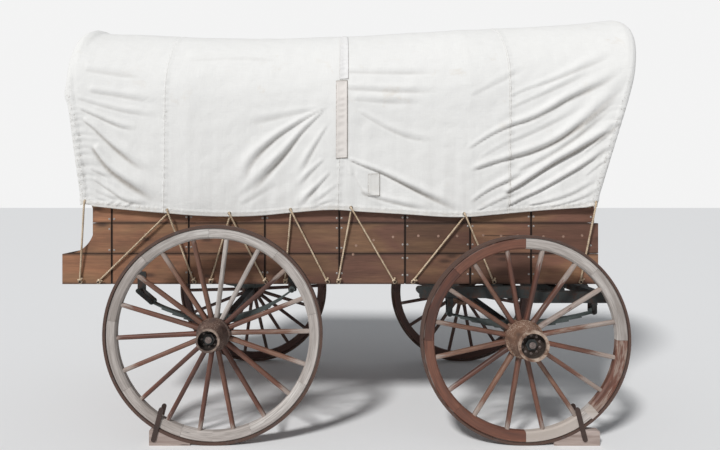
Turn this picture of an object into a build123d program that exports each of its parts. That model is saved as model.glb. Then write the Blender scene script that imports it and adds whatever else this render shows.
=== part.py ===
from build123d import *
from math import atan2, cos, degrees, radians, sin
import os

os.makedirs("parts", exist_ok=True)

# A covered wagon: a plank box on iron springs, four wooden wheels, a front gear that
# steers on a turntable, and a cotton cover over bent bows.
# Millimetres. X points forward, Y to the wagon's left, Z up. The ground is Z = 0.

# Running gear layout
wheelbase = 1953
rear_axle_x = -922
front_axle_x = rear_axle_x + wheelbase
box_half_width = 585        # outer face of the side boards
box_to_tyre = 190           # from there to the middle of the tyres
track = 2 * (box_half_width + box_to_tyre)
tyre_width = 50

# Wheels, one row a size: radius, tyre thickness, felloe depth, spokes, felloes,
# first spoke's angle from the top, hub radius, nose radius, recess radius
wheel_table = {
    "rear": (686, 17, 66, 18, 9, 8, 100, 72, 60),
    "front": (654, 14, 70, 16, 8, 11.25, 116, 94, 76),
}
axle_x_of = {"rear": rear_axle_x, "front": front_axle_x}
wheel_radius = {place: row[0] for place, row in wheel_table.items()}
felloe_width = 46
felloe_chamfer = 9
felloe_joint = 1.2
seat_gap = 0.1              # between pieces that are pressed together
dish = 34                   # how far the spokes' feet stand inside the tyre's middle
spoke_foot = (30, 46)       # along the rim, along the axle
spoke_neck = (29, 36)
spoke_tip = (28, 28)
spoke_neck_share = 0.16     # where the neck is, from the hub to the felloe

# Hub, along the axle from the tyre's middle, outwards positive
hub_inner_end = -118
hub_nose_end = 142
hub_inner_radius = 74
hub_band_width = 16
hub_band_proud = 5
hub_recess_depth = 44
axle_arm_radius = 30
running_gap = 0.3
nut_radius = 22
nut_length = 24

# Axles and springs
axle_size = 56
box_to_spring = 37          # from the side boards' outer face to the middle of the springs
spring_y = box_half_width + box_to_spring
spring_width = 48
leaf_thickness = 8
leaf_gap = 0.6
leaf_count = 5
leaf_step = 0.17            # how much shorter each leaf is, as a share of the span
eye_radius = 19
pin_radius = 10
pin_end = 5                 # how far a pin stands out of its link
link_thickness = 8
link_width = 30
spring_pad = 6              # packing between axle and pack
spring_cap = 12             # plate on top of the pack
spring_seat_length = 70
spring_seat_proud = 8       # of the pack's sides
clip_width = 14             # bands that hold the leaves together
clip_offset = 52            # either side of the axle
clip_proud = 5

# Box
box_front_x = 1595
box_top_front_x = 1568
box_rear_x = -1772
boot_length = 203           # the low boot behind the box
boot_rear_x = box_rear_x - boot_length
board_thickness = 25
board_height = 201
board_gap = 3.5
board_rows = 3
box_bottom_z = 967
bearer_height = 40
bearer_width = 60
floor_thickness = 25
floor_planks = 7
post_width = 64
post_thickness = 24
post_top_gap = 8            # below the top of the sides
bearer_inset = 15           # of the first bearer, behind the front
plank_inset = 5             # of the planks' front ends
joint_gap = 7
wood_gap = 0.3
end_board_thickness = 22
front_board_x = 1530
gate_gap = 8
ogee_rise = 126             # of the curve down to the boot, above the lowest board's top
ogee_middle = (46, 54)      # back from the box, above the lowest board's top
ogee_length = 143
hinge_back = 10             # the hinges' pins behind the box
hinge_x = box_rear_x - hinge_back
hinge_rise = 4              # and above the lowest board's top
hinge_pin_radius = 5
hinge_barrel_radius = 9
hinge_barrel = 30
hinge_y = 330
strap_width = 40
strap_thickness = 4
strap_foot = 12             # from the gate's lower edge to the strap
strap_top_gap = 40          # from the strap to the top of the sides
knuckle_gap = 0.5           # between the barrels of a hinge
leaf_rise = 20              # of the fixed hinge leaves' feet, above the floor
gate_rise = 4               # of the gate's lower edge, above the hinge pins
pin_overhang = 4
# panel lengths of the sides, from the rear; the last panel runs to the front
side_panels = (127, 513, 507, 495, 438, 434, 406)
rear_bearers = 6            # spaced evenly from the boot to the turntable

# Bows, one row each: foot X, top X, height of the cover's outside over the bow
cover_length = 4070
cover_rear_overhang = 27    # rear bow's feet, in front of the rear of the sides
bow_rows = (
    (box_rear_x + cover_rear_overhang, 100 - cover_length / 2, 2822),
    (-1132, -1132, 2766),
    (-130, -130, 2774),
    (742, 742, 2826),
    (box_front_x - 80, cover_length / 2 - 110, 2892),
)
bow_width = 44
bow_thickness = 18
bow_foot_z = 1480

# Cover
cover_thickness = 7
cover_side_gap = 27         # from the side boards' outer face to the cover's outside
cover_shoulder = box_half_width + cover_side_gap    # half the width, where the round top starts
cover_hem_half = cover_shoulder + 6
cover_base_z = 1400
cover_rear_base_x = box_rear_x - 54
cover_front_base_x = box_front_x - 50
cover_rear_top_z = 2800
cover_front_top_z = 2880
cover_bow_gap = 1
mouth_spring_z = 2050       # where the straight sides of an end's opening turn into its arch
mouth_top_z = {0: 2560, -1: 2600}   # top of the opening at the rear and at the front
brim_low_z = 1525           # lower end of the brim down the sides of each opening
hem_rows = (                # along the wagon, height of the hem
    (-1840, 1495), (-1264, 1440), (-849, 1418), (-454, 1444), (-93, 1459),
    (276, 1436), (694, 1412), (1217, 1459), (1560, 1482),
)
cut_margin = 50             # how far a cutting shape reaches past what it cuts
rope_radius = 6
# tie ropes, from the hem down to the board's lower edge: X at the hem, X at the foot
rope_rows = (
    (-1790, -1850), (-1268, -1730), (-1260, -1093), (-860, -986), (-853, -618),
    (-456, -489), (-448, -206), (-58, -136), (-50, 240), (692, 359), (700, 900),
    (1546, 1475),
)

# Steering gear
kingpin_radius = 20
turntable_radius = 440
turntable_ring_width = 55
turntable_plate = 12
turntable_hub_radius = 110
rail_height = 74
rail_rear_x = 400
rail_front_x = 1634
rail_step_x = 1140
rail_top_z = 960
rail_step = 32
transom_width = 70
transom_offset = 300
transom_drop = 10           # top of the transoms' lower edge over the rails' lower edge
rail_eye_radius = 23        # curled rear end of a rail
front_bar_width = 60        # bar between the front ends of the rails
front_bar_inset = 10
stays_y = (-430, -330, 330, 430)
stay_radius = 9
stay_rise = 30              # of a stay's top end, above the rails' stepped lower edge
kingpin_drop = 20           # of the kingpin's end, below the rails
lug_half = 18
lug_plate = 10
lug_drop = 4                # of a lug below the middle of its pin
fixed_link_drop = 15        # of the front links' upper ends, below the rail
rear_link_top_z = 842
hanger_width = 56
hanger_corner = 10
hanger_drop = 20            # of a hanger plate, below the middle of its pin
hanger_height = 85          # above the sides' lower edge

# Coupling for a pole or a pair of shafts: two forks on the front bar
fork_y = 250
fork_gap = 32               # between the ears
fork_ear = 14               # thickness of an ear
fork_ear_radius = 24
fork_bore_radius = 11
fork_reach = 42             # from the bar to the bore
fork_plate = 12
fork_plate_height = 66

box_inner_half = box_half_width - board_thickness
floor_z = box_bottom_z + bearer_height + floor_thickness


def save(part, name):
    """Label a finished piece and write it."""
    part.label = name
    export_step(part, f"parts/{name}.step")


def side_plane(y):
    """A plane across the wagon at y: local X is forward and local Y is up."""
    return Plane(origin=(0, y, 0), x_dir=(1, 0, 0), z_dir=(0, -1, 0))


def board_z(row):
    """Bottom and top of a row of side boards."""
    low = box_bottom_z + row * (board_height + board_gap)
    return low, low + board_height


def cross_round(point, side, near_y, far_y, radius):
    """A round bar across the wagon at a point of the side view."""
    with BuildSketch(side_plane(side * near_y)) as disc:
        with Locations(point):
            Circle(radius)
    extrude(disc.sketch, amount=-side * (far_y - near_y))


def link_plate(a, b, side, near_y, thickness, width):
    """A flat link with round ends between two points of the side view."""
    run = (b[0] - a[0], b[1] - a[1])
    turn = degrees(atan2(run[1], run[0]))
    with BuildSketch(side_plane(side * near_y)) as outline:
        with Locations(Location(((a[0] + b[0]) / 2, (a[1] + b[1]) / 2, 0), (0, 0, turn))):
            SlotCenterToCenter(Vector(*run).length, width)
    extrude(outline.sketch, amount=-side * thickness)


def block(x, y, z, mode=Mode.ADD):
    """A box between two corners, each axis given as (low, high)."""
    with Locations([((x[0] + x[1]) / 2, (y[0] + y[1]) / 2, (z[0] + z[1]) / 2)]):
        Box(x[1] - x[0], y[1] - y[0], z[1] - z[0], mode=mode)


box_top_z = board_z(board_rows - 1)[1]
boot_board_top_z = board_z(0)[1]
hinge_z = boot_board_top_z + hinge_rise
side_joints_x = [box_rear_x + sum(side_panels[:count + 1]) for count in range(len(side_panels))]


# Wheels: the left one of each size is built, and the right one is its mirror image
for place, row in wheel_table.items():
    (radius, tyre_thick, felloe_depth, spokes, felloes, first,
     hub_radius, nose_radius, recess_radius) = row
    felloe_outer = radius - tyre_thick - seat_gap
    felloe_inner = felloe_outer - felloe_depth
    middle = Vector(axle_x_of[place], track / 2, radius)
    # local X points up, local Y forward, Z out from the wagon
    wheel = Plane(origin=middle, x_dir=(0, 0, 1), z_dir=(0, 1, 0))

    with BuildPart() as tyre:
        with BuildSketch(wheel):
            Circle(radius)
            Circle(radius - tyre_thick, mode=Mode.SUBTRACT)
        extrude(amount=tyre_width / 2, both=True)

    with BuildPart() as rim:
        with BuildSketch(wheel):
            Circle(felloe_outer)
            Circle(felloe_inner, mode=Mode.SUBTRACT)
        extrude(amount=felloe_width / 2, both=True)
        chamfer(rim.edges().filter_by(GeomType.CIRCLE), felloe_chamfer)
        with BuildSketch(wheel):
            with PolarLocations((felloe_inner + felloe_outer) / 2, felloes, first - 180 / spokes):
                Rectangle(felloe_depth * 1.2, felloe_joint)
        extrude(amount=felloe_width, both=True, mode=Mode.SUBTRACT)

    # One spoke along X, from a rectangular foot through a neck to a rounded tip
    with BuildPart() as spoke:
        foot_reach = hub_radius - 4
        spoke_length = felloe_inner + 4 - foot_reach
        for stretch in (
            ((0, spoke_foot), (spoke_neck_share, spoke_neck)),
            ((spoke_neck_share, spoke_neck), (1, spoke_tip)),
        ):
            for share, size in stretch:
                centre = (foot_reach + spoke_length * share, 0, -dish * (1 - share))
                with BuildSketch(Plane(origin=centre, x_dir=(0, 1, 0), z_dir=(1, 0, 0))):
                    RectangleRounded(size[0], size[1], min(size) * 0.4)
            loft()
        with BuildSketch():
            Circle(felloe_inner - seat_gap)
            Circle(hub_radius + seat_gap, mode=Mode.SUBTRACT)
        extrude(amount=tyre_width * 2, both=True, mode=Mode.INTERSECT)

    with BuildPart() as spoke_set:
        with Locations(wheel.location):
            with PolarLocations(0, spokes, first):
                add(spoke.part)

    with BuildPart() as hub:
        bore = axle_arm_radius + running_gap
        foot_zone = spoke_foot[1] / 2 + 5
        with BuildSketch(Plane(origin=middle, x_dir=(0, 0, 1), z_dir=(-1, 0, 0))):
            with BuildLine():
                Polyline(
                    (bore, hub_inner_end),
                    (hub_inner_radius, hub_inner_end),
                    (hub_inner_radius, hub_inner_end + 30),
                    (hub_radius, -dish - foot_zone),
                    (hub_radius, -dish + foot_zone),
                    (hub_radius + hub_band_proud, -dish + foot_zone),
                    (hub_radius + hub_band_proud, -dish + foot_zone + hub_band_width),
                    (hub_radius - 6, -dish + foot_zone + hub_band_width),
                    (nose_radius - 4, hub_nose_end - 30),
                    (nose_radius, hub_nose_end - 30),
                    (nose_radius, hub_nose_end),
                    (recess_radius, hub_nose_end),
                    (recess_radius, hub_nose_end - hub_recess_depth),
                    (bore, hub_nose_end - hub_recess_depth),
                    close=True,
                )
            make_face()
        revolve(axis=Axis(middle, (0, 1, 0)))

    for piece, name in ((tyre, "tyre"), (rim, "felloes"), (spoke_set, "spokes"), (hub, "hub")):
        save(piece.part, f"{name}_{place}_left")
        save(mirror(piece.part, about=Plane.XZ), f"{name}_{place}_right")

# Axles: a square beam with a round arm and a nut at each end
beam_end = track / 2 + hub_inner_end - running_gap
nut_seat = track / 2 + hub_nose_end - hub_recess_depth + running_gap
for place, axle_x in axle_x_of.items():
    with BuildPart() as axle:
        with BuildSketch(Plane(origin=(axle_x, 0, wheel_radius[place]),
                               x_dir=(1, 0, 0), z_dir=(0, 1, 0))):
            Rectangle(axle_size, axle_size)
        extrude(amount=beam_end, both=True)
        for side in (-1, 1):
            with BuildSketch(Plane(origin=(axle_x, side * beam_end, wheel_radius[place]),
                                   x_dir=(1, 0, 0), z_dir=(0, side, 0))):
                Circle(axle_arm_radius)
            extrude(amount=nut_seat - beam_end)
            with BuildSketch(Plane(origin=(axle_x, side * nut_seat, wheel_radius[place]),
                                   x_dir=(1, 0, 0), z_dir=(0, side, 0))):
                RegularPolygon(nut_radius * 1.7, 6)
            extrude(amount=nut_length * 0.5)
            with BuildSketch(Plane(origin=(axle_x, side * nut_seat, wheel_radius[place]),
                                   x_dir=(1, 0, 0), z_dir=(0, side, 0))):
                Circle(nut_radius)
            extrude(amount=nut_length)
    save(axle.part, f"{place}_axle")


# Leaf springs: each leaf is an arc round the same centre, clamped on the axle
def circle_through(a, b, c):
    """Centre and radius of the circle through three points."""
    (ax, az), (bx, bz), (cx, cz) = a, b, c
    d = 2 * (ax * (bz - cz) + bx * (cz - az) + cx * (az - bz))
    sa, sb, sc = ax**2 + az**2, bx**2 + bz**2, cx**2 + cz**2
    x = (sa * (bz - cz) + sb * (cz - az) + sc * (az - bz)) / d
    z = (sa * (cx - bx) + sb * (ax - cx) + sc * (bx - ax)) / d
    return (x, z), ((ax - x)**2 + (az - z)**2) ** 0.5


spring_seat_z = {place: wheel_radius[place] + axle_size / 2 for place in wheel_table}
pack_height = leaf_count * leaf_thickness + (leaf_count - 1) * leaf_gap
# rear eye, front eye
eye_points = {
    "rear": ((-1358, 862), (-442, 940)),
    "front": ((593, 783), (1536, 796)),
}
for place, (eye_a, eye_b) in eye_points.items():
    seat = (axle_x_of[place], spring_seat_z[place] + spring_pad + pack_height)
    centre, inner_radius = circle_through(eye_a, seat, eye_b)
    angle_a = atan2(eye_a[1] - centre[1], eye_a[0] - centre[0])
    angle_b = atan2(eye_b[1] - centre[1], eye_b[0] - centre[0])
    angle_m = atan2(seat[1] - centre[1], seat[0] - centre[0])
    with BuildPart() as springs:
        for side in (-1, 1):
            for leaf in range(leaf_count):
                r_top = inner_radius + leaf * (leaf_thickness + leaf_gap)
                r_low = r_top + leaf_thickness
                share = 1 - leaf * leaf_step
                start = angle_m + (angle_a - angle_m) * share
                end = angle_m + (angle_b - angle_m) * share
                with BuildSketch(side_plane(side * spring_y)):
                    with BuildLine():
                        ends = [
                            [(centre[0] + r * cos(a), centre[1] + r * sin(a))
                             for a in (start, angle_m, end)]
                            for r in (r_top, r_low)
                        ]
                        ThreePointArc(*ends[0])
                        ThreePointArc(*ends[1])
                        Line(ends[0][0], ends[1][0])
                        Line(ends[0][2], ends[1][2])
                    make_face()
                extrude(amount=spring_width / 2, both=True)
            for eye in (eye_a, eye_b):
                with BuildSketch(side_plane(side * spring_y)):
                    with Locations(eye):
                        Circle(eye_radius)
                extrude(amount=spring_width / 2, both=True)
            for eye in (eye_a, eye_b):
                with BuildSketch(side_plane(side * spring_y)):
                    with Locations(eye):
                        Circle(pin_radius + running_gap)
                extrude(amount=spring_width, both=True, mode=Mode.SUBTRACT)
            seat_height = spring_pad + pack_height + spring_cap
            with BuildSketch(side_plane(side * spring_y)):
                with Locations((axle_x_of[place], spring_seat_z[place] + seat_height / 2)):
                    Rectangle(spring_seat_length, seat_height)
            extrude(amount=spring_width / 2 + spring_seat_proud, both=True)
            # bands round the pack, square to its arc
            for turn in (-clip_offset, clip_offset):
                angle = angle_m + turn / inner_radius
                middle_r = inner_radius + pack_height / 2
                spot = (centre[0] + middle_r * cos(angle), centre[1] + middle_r * sin(angle), 0)
                with BuildSketch(side_plane(side * spring_y)):
                    with Locations(Location(spot, (0, 0, degrees(angle)))):
                        Rectangle(pack_height + 2 * clip_proud, clip_width)
                extrude(amount=spring_width / 2 + clip_proud, both=True)
    save(springs.part, f"{place}_springs")

# Rear hangers: plates on the side boards with pins out through the springs' eyes,
# and a pair of links at the rear end
link_inner_y = spring_y - spring_width / 2 - running_gap - link_thickness
link_outer_y = spring_y + spring_width / 2 + running_gap
pin_end_y = link_outer_y + link_thickness + pin_end
hanger_y = box_half_width + wood_gap
hanger_top_z = box_bottom_z + hanger_height
rear_shackle_top = (-1444, 935)
with BuildPart() as rear_hangers:
    for side in (-1, 1):
        for top in (rear_shackle_top, eye_points["rear"][1]):
            with BuildSketch(side_plane(side * hanger_y)):
                with Locations((top[0], (top[1] - hanger_drop + hanger_top_z) / 2)):
                    RectangleRounded(hanger_width, hanger_top_z - top[1] + hanger_drop, hanger_corner)
            extrude(amount=-side * (link_inner_y - hanger_y))
            cross_round(top, side, hanger_y, pin_end_y, pin_radius)
        cross_round(eye_points["rear"][0], side, link_inner_y, pin_end_y, pin_radius)
        for y in (link_inner_y, link_outer_y):
            link_plate(rear_shackle_top, eye_points["rear"][0], side, y, link_thickness, link_width)
save(rear_hangers.part, "rear_hangers")

# Front frame: a cranked rail over each front spring and transoms between the rails
rail_low_z = rail_top_z - rail_height
rail_inner_y = spring_y - spring_width / 2 - 1
rail_outer_y = spring_y + spring_width / 2 + 1
transom_top_z = box_bottom_z - 2 * turntable_plate - wood_gap
transom_low_z = rail_low_z - rail_step + transom_drop
front_bar_low_z = rail_low_z - rail_step + front_bar_inset
front_bar_top_z = rail_top_z - rail_step - front_bar_inset
front_bar_x = rail_front_x - front_bar_inset
with BuildPart() as front_frame:
    for side in (-1, 1):
        with BuildSketch(side_plane(side * rail_inner_y)):
            with BuildLine():
                Polyline(
                    (rail_rear_x, rail_low_z), (rail_rear_x, rail_top_z),
                    (rail_step_x, rail_top_z), (rail_step_x + rail_step, rail_top_z - rail_step),
                    (rail_front_x, rail_top_z - rail_step), (rail_front_x, rail_low_z - rail_step),
                    (rail_step_x, rail_low_z - rail_step), (rail_step_x - rail_step, rail_low_z),
                    close=True,
                )
            make_face()
            with Locations((rail_rear_x, rail_top_z - rail_eye_radius)):
                Circle(rail_eye_radius)
        extrude(amount=-side * (rail_outer_y - rail_inner_y))
    block((front_bar_x - front_bar_width, front_bar_x), (-rail_inner_y, rail_inner_y),
          (front_bar_low_z, front_bar_top_z))
    for offset in (-transom_offset, 0, transom_offset):
        middle_x = front_axle_x + offset
        block((middle_x - transom_width / 2, middle_x + transom_width / 2),
              (-rail_inner_y, rail_inner_y), (transom_low_z, transom_top_z))
    with BuildSketch(Plane.XY.offset(rail_low_z - rail_step)):
        with Locations((front_axle_x, 0)):
            Circle(kingpin_radius + running_gap)
    extrude(amount=2 * rail_height, mode=Mode.SUBTRACT)
save(front_frame.part, "front_frame")

# Forks for the pole: a plate on the front bar with two ears and a bore across them
fork_x = front_bar_x + fork_reach
fork_z = (front_bar_low_z + front_bar_top_z) / 2
with BuildPart() as pole_forks:
    for middle_y in (-fork_y, fork_y):
        half_gap = fork_gap / 2
        block((front_bar_x + wood_gap, front_bar_x + fork_plate),
              (middle_y - half_gap - fork_ear, middle_y + half_gap + fork_ear),
              (fork_z - fork_plate_height / 2, fork_z + fork_plate_height / 2))
        for low_y in (middle_y - half_gap - fork_ear, middle_y + half_gap):
            with BuildSketch(side_plane(low_y)) as ear:
                with Locations((fork_x, fork_z)):
                    Circle(fork_ear_radius)
                with Locations(((front_bar_x + wood_gap + fork_x) / 2, fork_z)):
                    Rectangle(fork_x - front_bar_x - wood_gap, 2 * fork_ear_radius)
            extrude(ear.sketch, amount=-fork_ear)
        with BuildSketch(side_plane(middle_y)) as pin_way:
            with Locations((fork_x, fork_z)):
                Circle(fork_bore_radius)
        extrude(pin_way.sketch, amount=fork_gap, both=True, mode=Mode.SUBTRACT)
save(pole_forks.part, "pole_forks")

# Front hangers: lugs and links from the rails down to the springs' eyes
rear_link_top = (eye_points["front"][0][0], rear_link_top_z)
with BuildPart() as front_hangers:
    for side in (-1, 1):
        shackle, fixed = eye_points["front"]
        for y in (link_inner_y, link_outer_y):
            block((rear_link_top[0] - lug_half, rear_link_top[0] + lug_half),
                  sorted((side * y, side * (y + link_thickness))),
                  (rear_link_top[1] - lug_drop, rail_low_z))
            link_plate(rear_link_top, shackle, side, y, link_thickness, link_width)
            link_plate((fixed[0], rail_low_z - rail_step - fixed_link_drop), fixed, side, y,
                       link_thickness, link_width)
        for x, top_z in ((rear_link_top[0], rail_low_z), (fixed[0], rail_low_z - rail_step)):
            block((x - lug_half, x + lug_half),
                  sorted((side * link_inner_y, side * (link_outer_y + link_thickness))),
                  (top_z - lug_plate, top_z))
        for point in (rear_link_top, shackle, fixed):
            cross_round(point, side, link_inner_y - pin_end, pin_end_y, pin_radius)
save(front_hangers.part, "front_hangers")

# Turntable: a ring, a cross and a hub plate on each side of the turning face
for name, low_z, deep in (("turntable_upper", box_bottom_z - turntable_plate, True),
                          ("turntable_lower", transom_top_z, False)):
    with BuildPart() as table:
        with BuildSketch(Plane.XY.offset(low_z)):
            with Locations((front_axle_x, 0)):
                Circle(turntable_radius)
                Circle(turntable_radius - turntable_ring_width, mode=Mode.SUBTRACT)
                Circle(turntable_hub_radius)
                Rectangle(2 * turntable_radius - turntable_ring_width, transom_width)
                Rectangle(transom_width, 2 * turntable_radius - turntable_ring_width)
        extrude(amount=turntable_plate)
        kingpin_low_z = rail_low_z - rail_step - kingpin_drop
        with BuildSketch(Plane.XY.offset(kingpin_low_z)):
            with Locations((front_axle_x, 0)):
                Circle(kingpin_radius if deep else kingpin_radius + running_gap)
        extrude(amount=low_z + turntable_plate - kingpin_low_z,
                mode=Mode.ADD if deep else Mode.SUBTRACT)
    save(table.part, name)

# Stays from the rear transom down to the back of the front axle
with BuildPart() as front_stays:
    rear_transom_x = front_axle_x - transom_offset
    for y in stays_y:
        top = Vector(rear_transom_x, y, rail_low_z - rail_step + stay_rise)
        foot = Vector(front_axle_x, y, wheel_radius["front"])
        with BuildSketch(Plane(origin=foot, z_dir=top - foot)):
            Circle(stay_radius)
        extrude(amount=(top - foot).length)
    seats = axle_size / 2 + wood_gap
    block((front_axle_x - seats, front_axle_x + seats + stay_radius), (-track / 2, track / 2),
          (wheel_radius["front"] - seats, wheel_radius["front"] + seats), mode=Mode.SUBTRACT)
    seats = transom_width / 2 + wood_gap
    block((rear_transom_x - seats - stay_radius, rear_transom_x + seats), (-track / 2, track / 2),
          (transom_low_z - wood_gap, rail_top_z), mode=Mode.SUBTRACT)
save(front_stays.part, "front_stays")

# Box floor
first_bearer_x = boot_rear_x + end_board_thickness + wood_gap + bearer_width / 2
bearer_step = (front_axle_x - transom_offset - first_bearer_x) / rear_bearers
bearers_x = (
    *[first_bearer_x + index * bearer_step for index in range(rear_bearers)],
    front_axle_x - transom_offset, front_axle_x, front_axle_x + transom_offset,
    box_front_x - bearer_width / 2 - bearer_inset,
)
with BuildPart() as bearers:
    for x in bearers_x:
        block((x - bearer_width / 2, x + bearer_width / 2),
              (-box_inner_half + wood_gap, box_inner_half - wood_gap),
              (box_bottom_z, box_bottom_z + bearer_height))
save(bearers.part, "floor_bearers")

with BuildPart() as floor:
    plank_span = 2 * (box_inner_half - wood_gap)
    plank = (plank_span - (floor_planks - 1) * board_gap) / floor_planks
    for index in range(floor_planks):
        low = -plank_span / 2 + index * (plank + board_gap)
        block((boot_rear_x + end_board_thickness + wood_gap, box_front_x - plank_inset),
              (low, low + plank),
              (box_bottom_z + bearer_height, floor_z))
save(floor.part, "floor_planks")

# Side boards: three rows, butted over the posts
for side, hand in ((-1, "right"), (1, "left")):
    with BuildPart() as boards:
        for row in range(board_rows):
            low, high = board_z(row)
            rear = boot_rear_x if row == 0 else box_rear_x
            front = box_top_front_x if row == board_rows - 1 else box_front_x
            edges = (rear, *side_joints_x, front)
            for index in range(len(edges) - 1):
                start = edges[index] + (joint_gap / 2 if index else 0)
                stop = edges[index + 1] - (joint_gap / 2 if index < len(edges) - 2 else 0)
                with BuildSketch(side_plane(side * box_inner_half)):
                    with BuildLine():
                        if row == 1 and index == 0:
                            ogee_top = (start, low - board_gap + ogee_rise)
                            ogee_foot = (start - ogee_length, low)
                            ThreePointArc(
                                ogee_top,
                                (start - ogee_middle[0], low - board_gap + ogee_middle[1]),
                                ogee_foot,
                            )
                            Polyline(ogee_foot, (stop, low), (stop, high), (start, high), ogee_top)
                        else:
                            Polyline((start, low), (stop, low), (stop, high), (start, high),
                                     close=True)
                    make_face()
                extrude(amount=-side * board_thickness)
    save(boards.part, f"side_boards_{hand}")

    with BuildPart() as posts:
        for x in side_joints_x:
            block((x - post_width / 2, x + post_width / 2),
                  sorted((side * (box_inner_half - wood_gap),
                          side * (box_inner_half - wood_gap - post_thickness))),
                  (floor_z, box_top_z - post_top_gap))
    save(posts.part, f"side_posts_{hand}")

# End boards
end_half = box_inner_half - wood_gap
with BuildPart() as front_boards:
    for row in range(board_rows):
        low, high = board_z(row)
        block((front_board_x, front_board_x + end_board_thickness), (-end_half, end_half),
              (max(low, floor_z), high))
save(front_boards.part, "front_board")

with BuildPart() as rear_end:
    block((box_rear_x, box_rear_x + end_board_thickness), (-end_half, end_half),
          (floor_z, boot_board_top_z))
    block((boot_rear_x, boot_rear_x + end_board_thickness), (-end_half, end_half),
          (box_bottom_z, boot_board_top_z))
save(rear_end.part, "boot_boards")

# Tail gate: two boards on strap hinges
gate_half = box_inner_half - gate_gap
gate_low_z = hinge_z + gate_rise
with BuildPart() as gate:
    block((box_rear_x, box_rear_x + end_board_thickness), (-gate_half, gate_half),
          (gate_low_z, board_z(1)[1]))
    block((box_rear_x, box_rear_x + end_board_thickness), (-gate_half, gate_half),
          board_z(2))
    for y in (-hinge_y, hinge_y):
        block((box_rear_x - strap_thickness, box_rear_x), (y - strap_width / 2, y + strap_width / 2),
              (gate_low_z + strap_foot, box_top_z - strap_top_gap))
        for low in (y - 1.5 * hinge_barrel - knuckle_gap, y + 0.5 * hinge_barrel + knuckle_gap):
            block((hinge_x, box_rear_x), (low, low + hinge_barrel),
                  (hinge_z, gate_low_z + strap_foot + 2))
            with BuildSketch(Plane(origin=(hinge_x, low, hinge_z), x_dir=(1, 0, 0), z_dir=(0, 1, 0))):
                Circle(hinge_barrel_radius)
            extrude(amount=hinge_barrel)
            with BuildSketch(Plane(origin=(hinge_x, low, hinge_z), x_dir=(1, 0, 0), z_dir=(0, 1, 0))):
                Circle(hinge_pin_radius + running_gap)
            extrude(amount=hinge_barrel, mode=Mode.SUBTRACT)
save(gate.part, "tail_gate")

with BuildPart() as hinges:
    for y in (-hinge_y, hinge_y):
        block((box_rear_x - wood_gap - strap_thickness, box_rear_x - wood_gap),
              (y - hinge_barrel / 2, y + hinge_barrel / 2), (floor_z + leaf_rise, hinge_z))
        cross = Plane(origin=(hinge_x, y, hinge_z), x_dir=(1, 0, 0), z_dir=(0, 1, 0))
        with BuildSketch(cross):
            Circle(hinge_barrel_radius)
        extrude(amount=hinge_barrel / 2, both=True)
        with BuildSketch(cross):
            Circle(hinge_pin_radius)
        extrude(amount=hinge_barrel * 1.5 + pin_overhang, both=True)
save(hinges.part, "gate_hinges")


# Bows and cover
def lean_plane(foot_x, foot_z, top_x, top_z):
    """Plane of a bow: local X is the wagon's Y, local Y rises along the lean."""
    up = Vector(top_x - foot_x, 0, top_z - foot_z).normalized()
    return Plane(origin=(foot_x, 0, foot_z), x_dir=(0, 1, 0), z_dir=Vector(0, 1, 0).cross(up))


def hoop(half_foot, half_shoulder, height, drop=0):
    """Outline of a bow: straight sides and a round top."""
    shoulder = height - half_shoulder
    with BuildLine() as outline:
        Polyline((-half_shoulder, shoulder), (-half_foot, -drop), (half_foot, -drop),
                 (half_shoulder, shoulder))
        ThreePointArc((half_shoulder, shoulder), (0, height), (-half_shoulder, shoulder))
    make_face(outline.edges())


# Sections of the cover from the rear end to the front end: base X, top X, top Z
cover_rows = (
    (cover_rear_base_x, -cover_length / 2, cover_rear_top_z),
    *[(foot + (top - foot) * (cover_base_z - bow_foot_z) / (z - bow_foot_z), top, z)
      for foot, top, z in bow_rows],
    (cover_front_base_x, cover_length / 2, cover_front_top_z),
)

with BuildPart() as bows:
    for index, (foot_x, top_x, top_z) in enumerate(bow_rows):
        # a bow lies lower where the cover falls away over the width of the bow
        up = Vector(top_x - foot_x, 0, top_z - bow_foot_z).normalized()
        across = Vector(0, 1, 0).cross(up)
        runs = [Vector(x - top_x, 0, z - top_z)
                for _, x, z in (cover_rows[index], cover_rows[index + 2])]
        steepest = max(0, *[-run.dot(up) / abs(run.dot(across)) for run in runs])
        bow_top_z = top_z - cover_thickness - cover_bow_gap - steepest * bow_width / 2
        lean = lean_plane(foot_x, bow_foot_z, top_x, bow_top_z)
        height = Vector(top_x - foot_x, 0, bow_top_z - bow_foot_z).length
        foot_half = box_half_width + wood_gap + bow_thickness
        for inset, mode in ((0, Mode.ADD), (bow_thickness, Mode.SUBTRACT)):
            with BuildSketch(lean):
                hoop(foot_half - inset, foot_half - inset, height - inset, drop=inset)
            extrude(amount=bow_width / 2, both=True, mode=mode)
save(bows.part, "bows")

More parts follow.
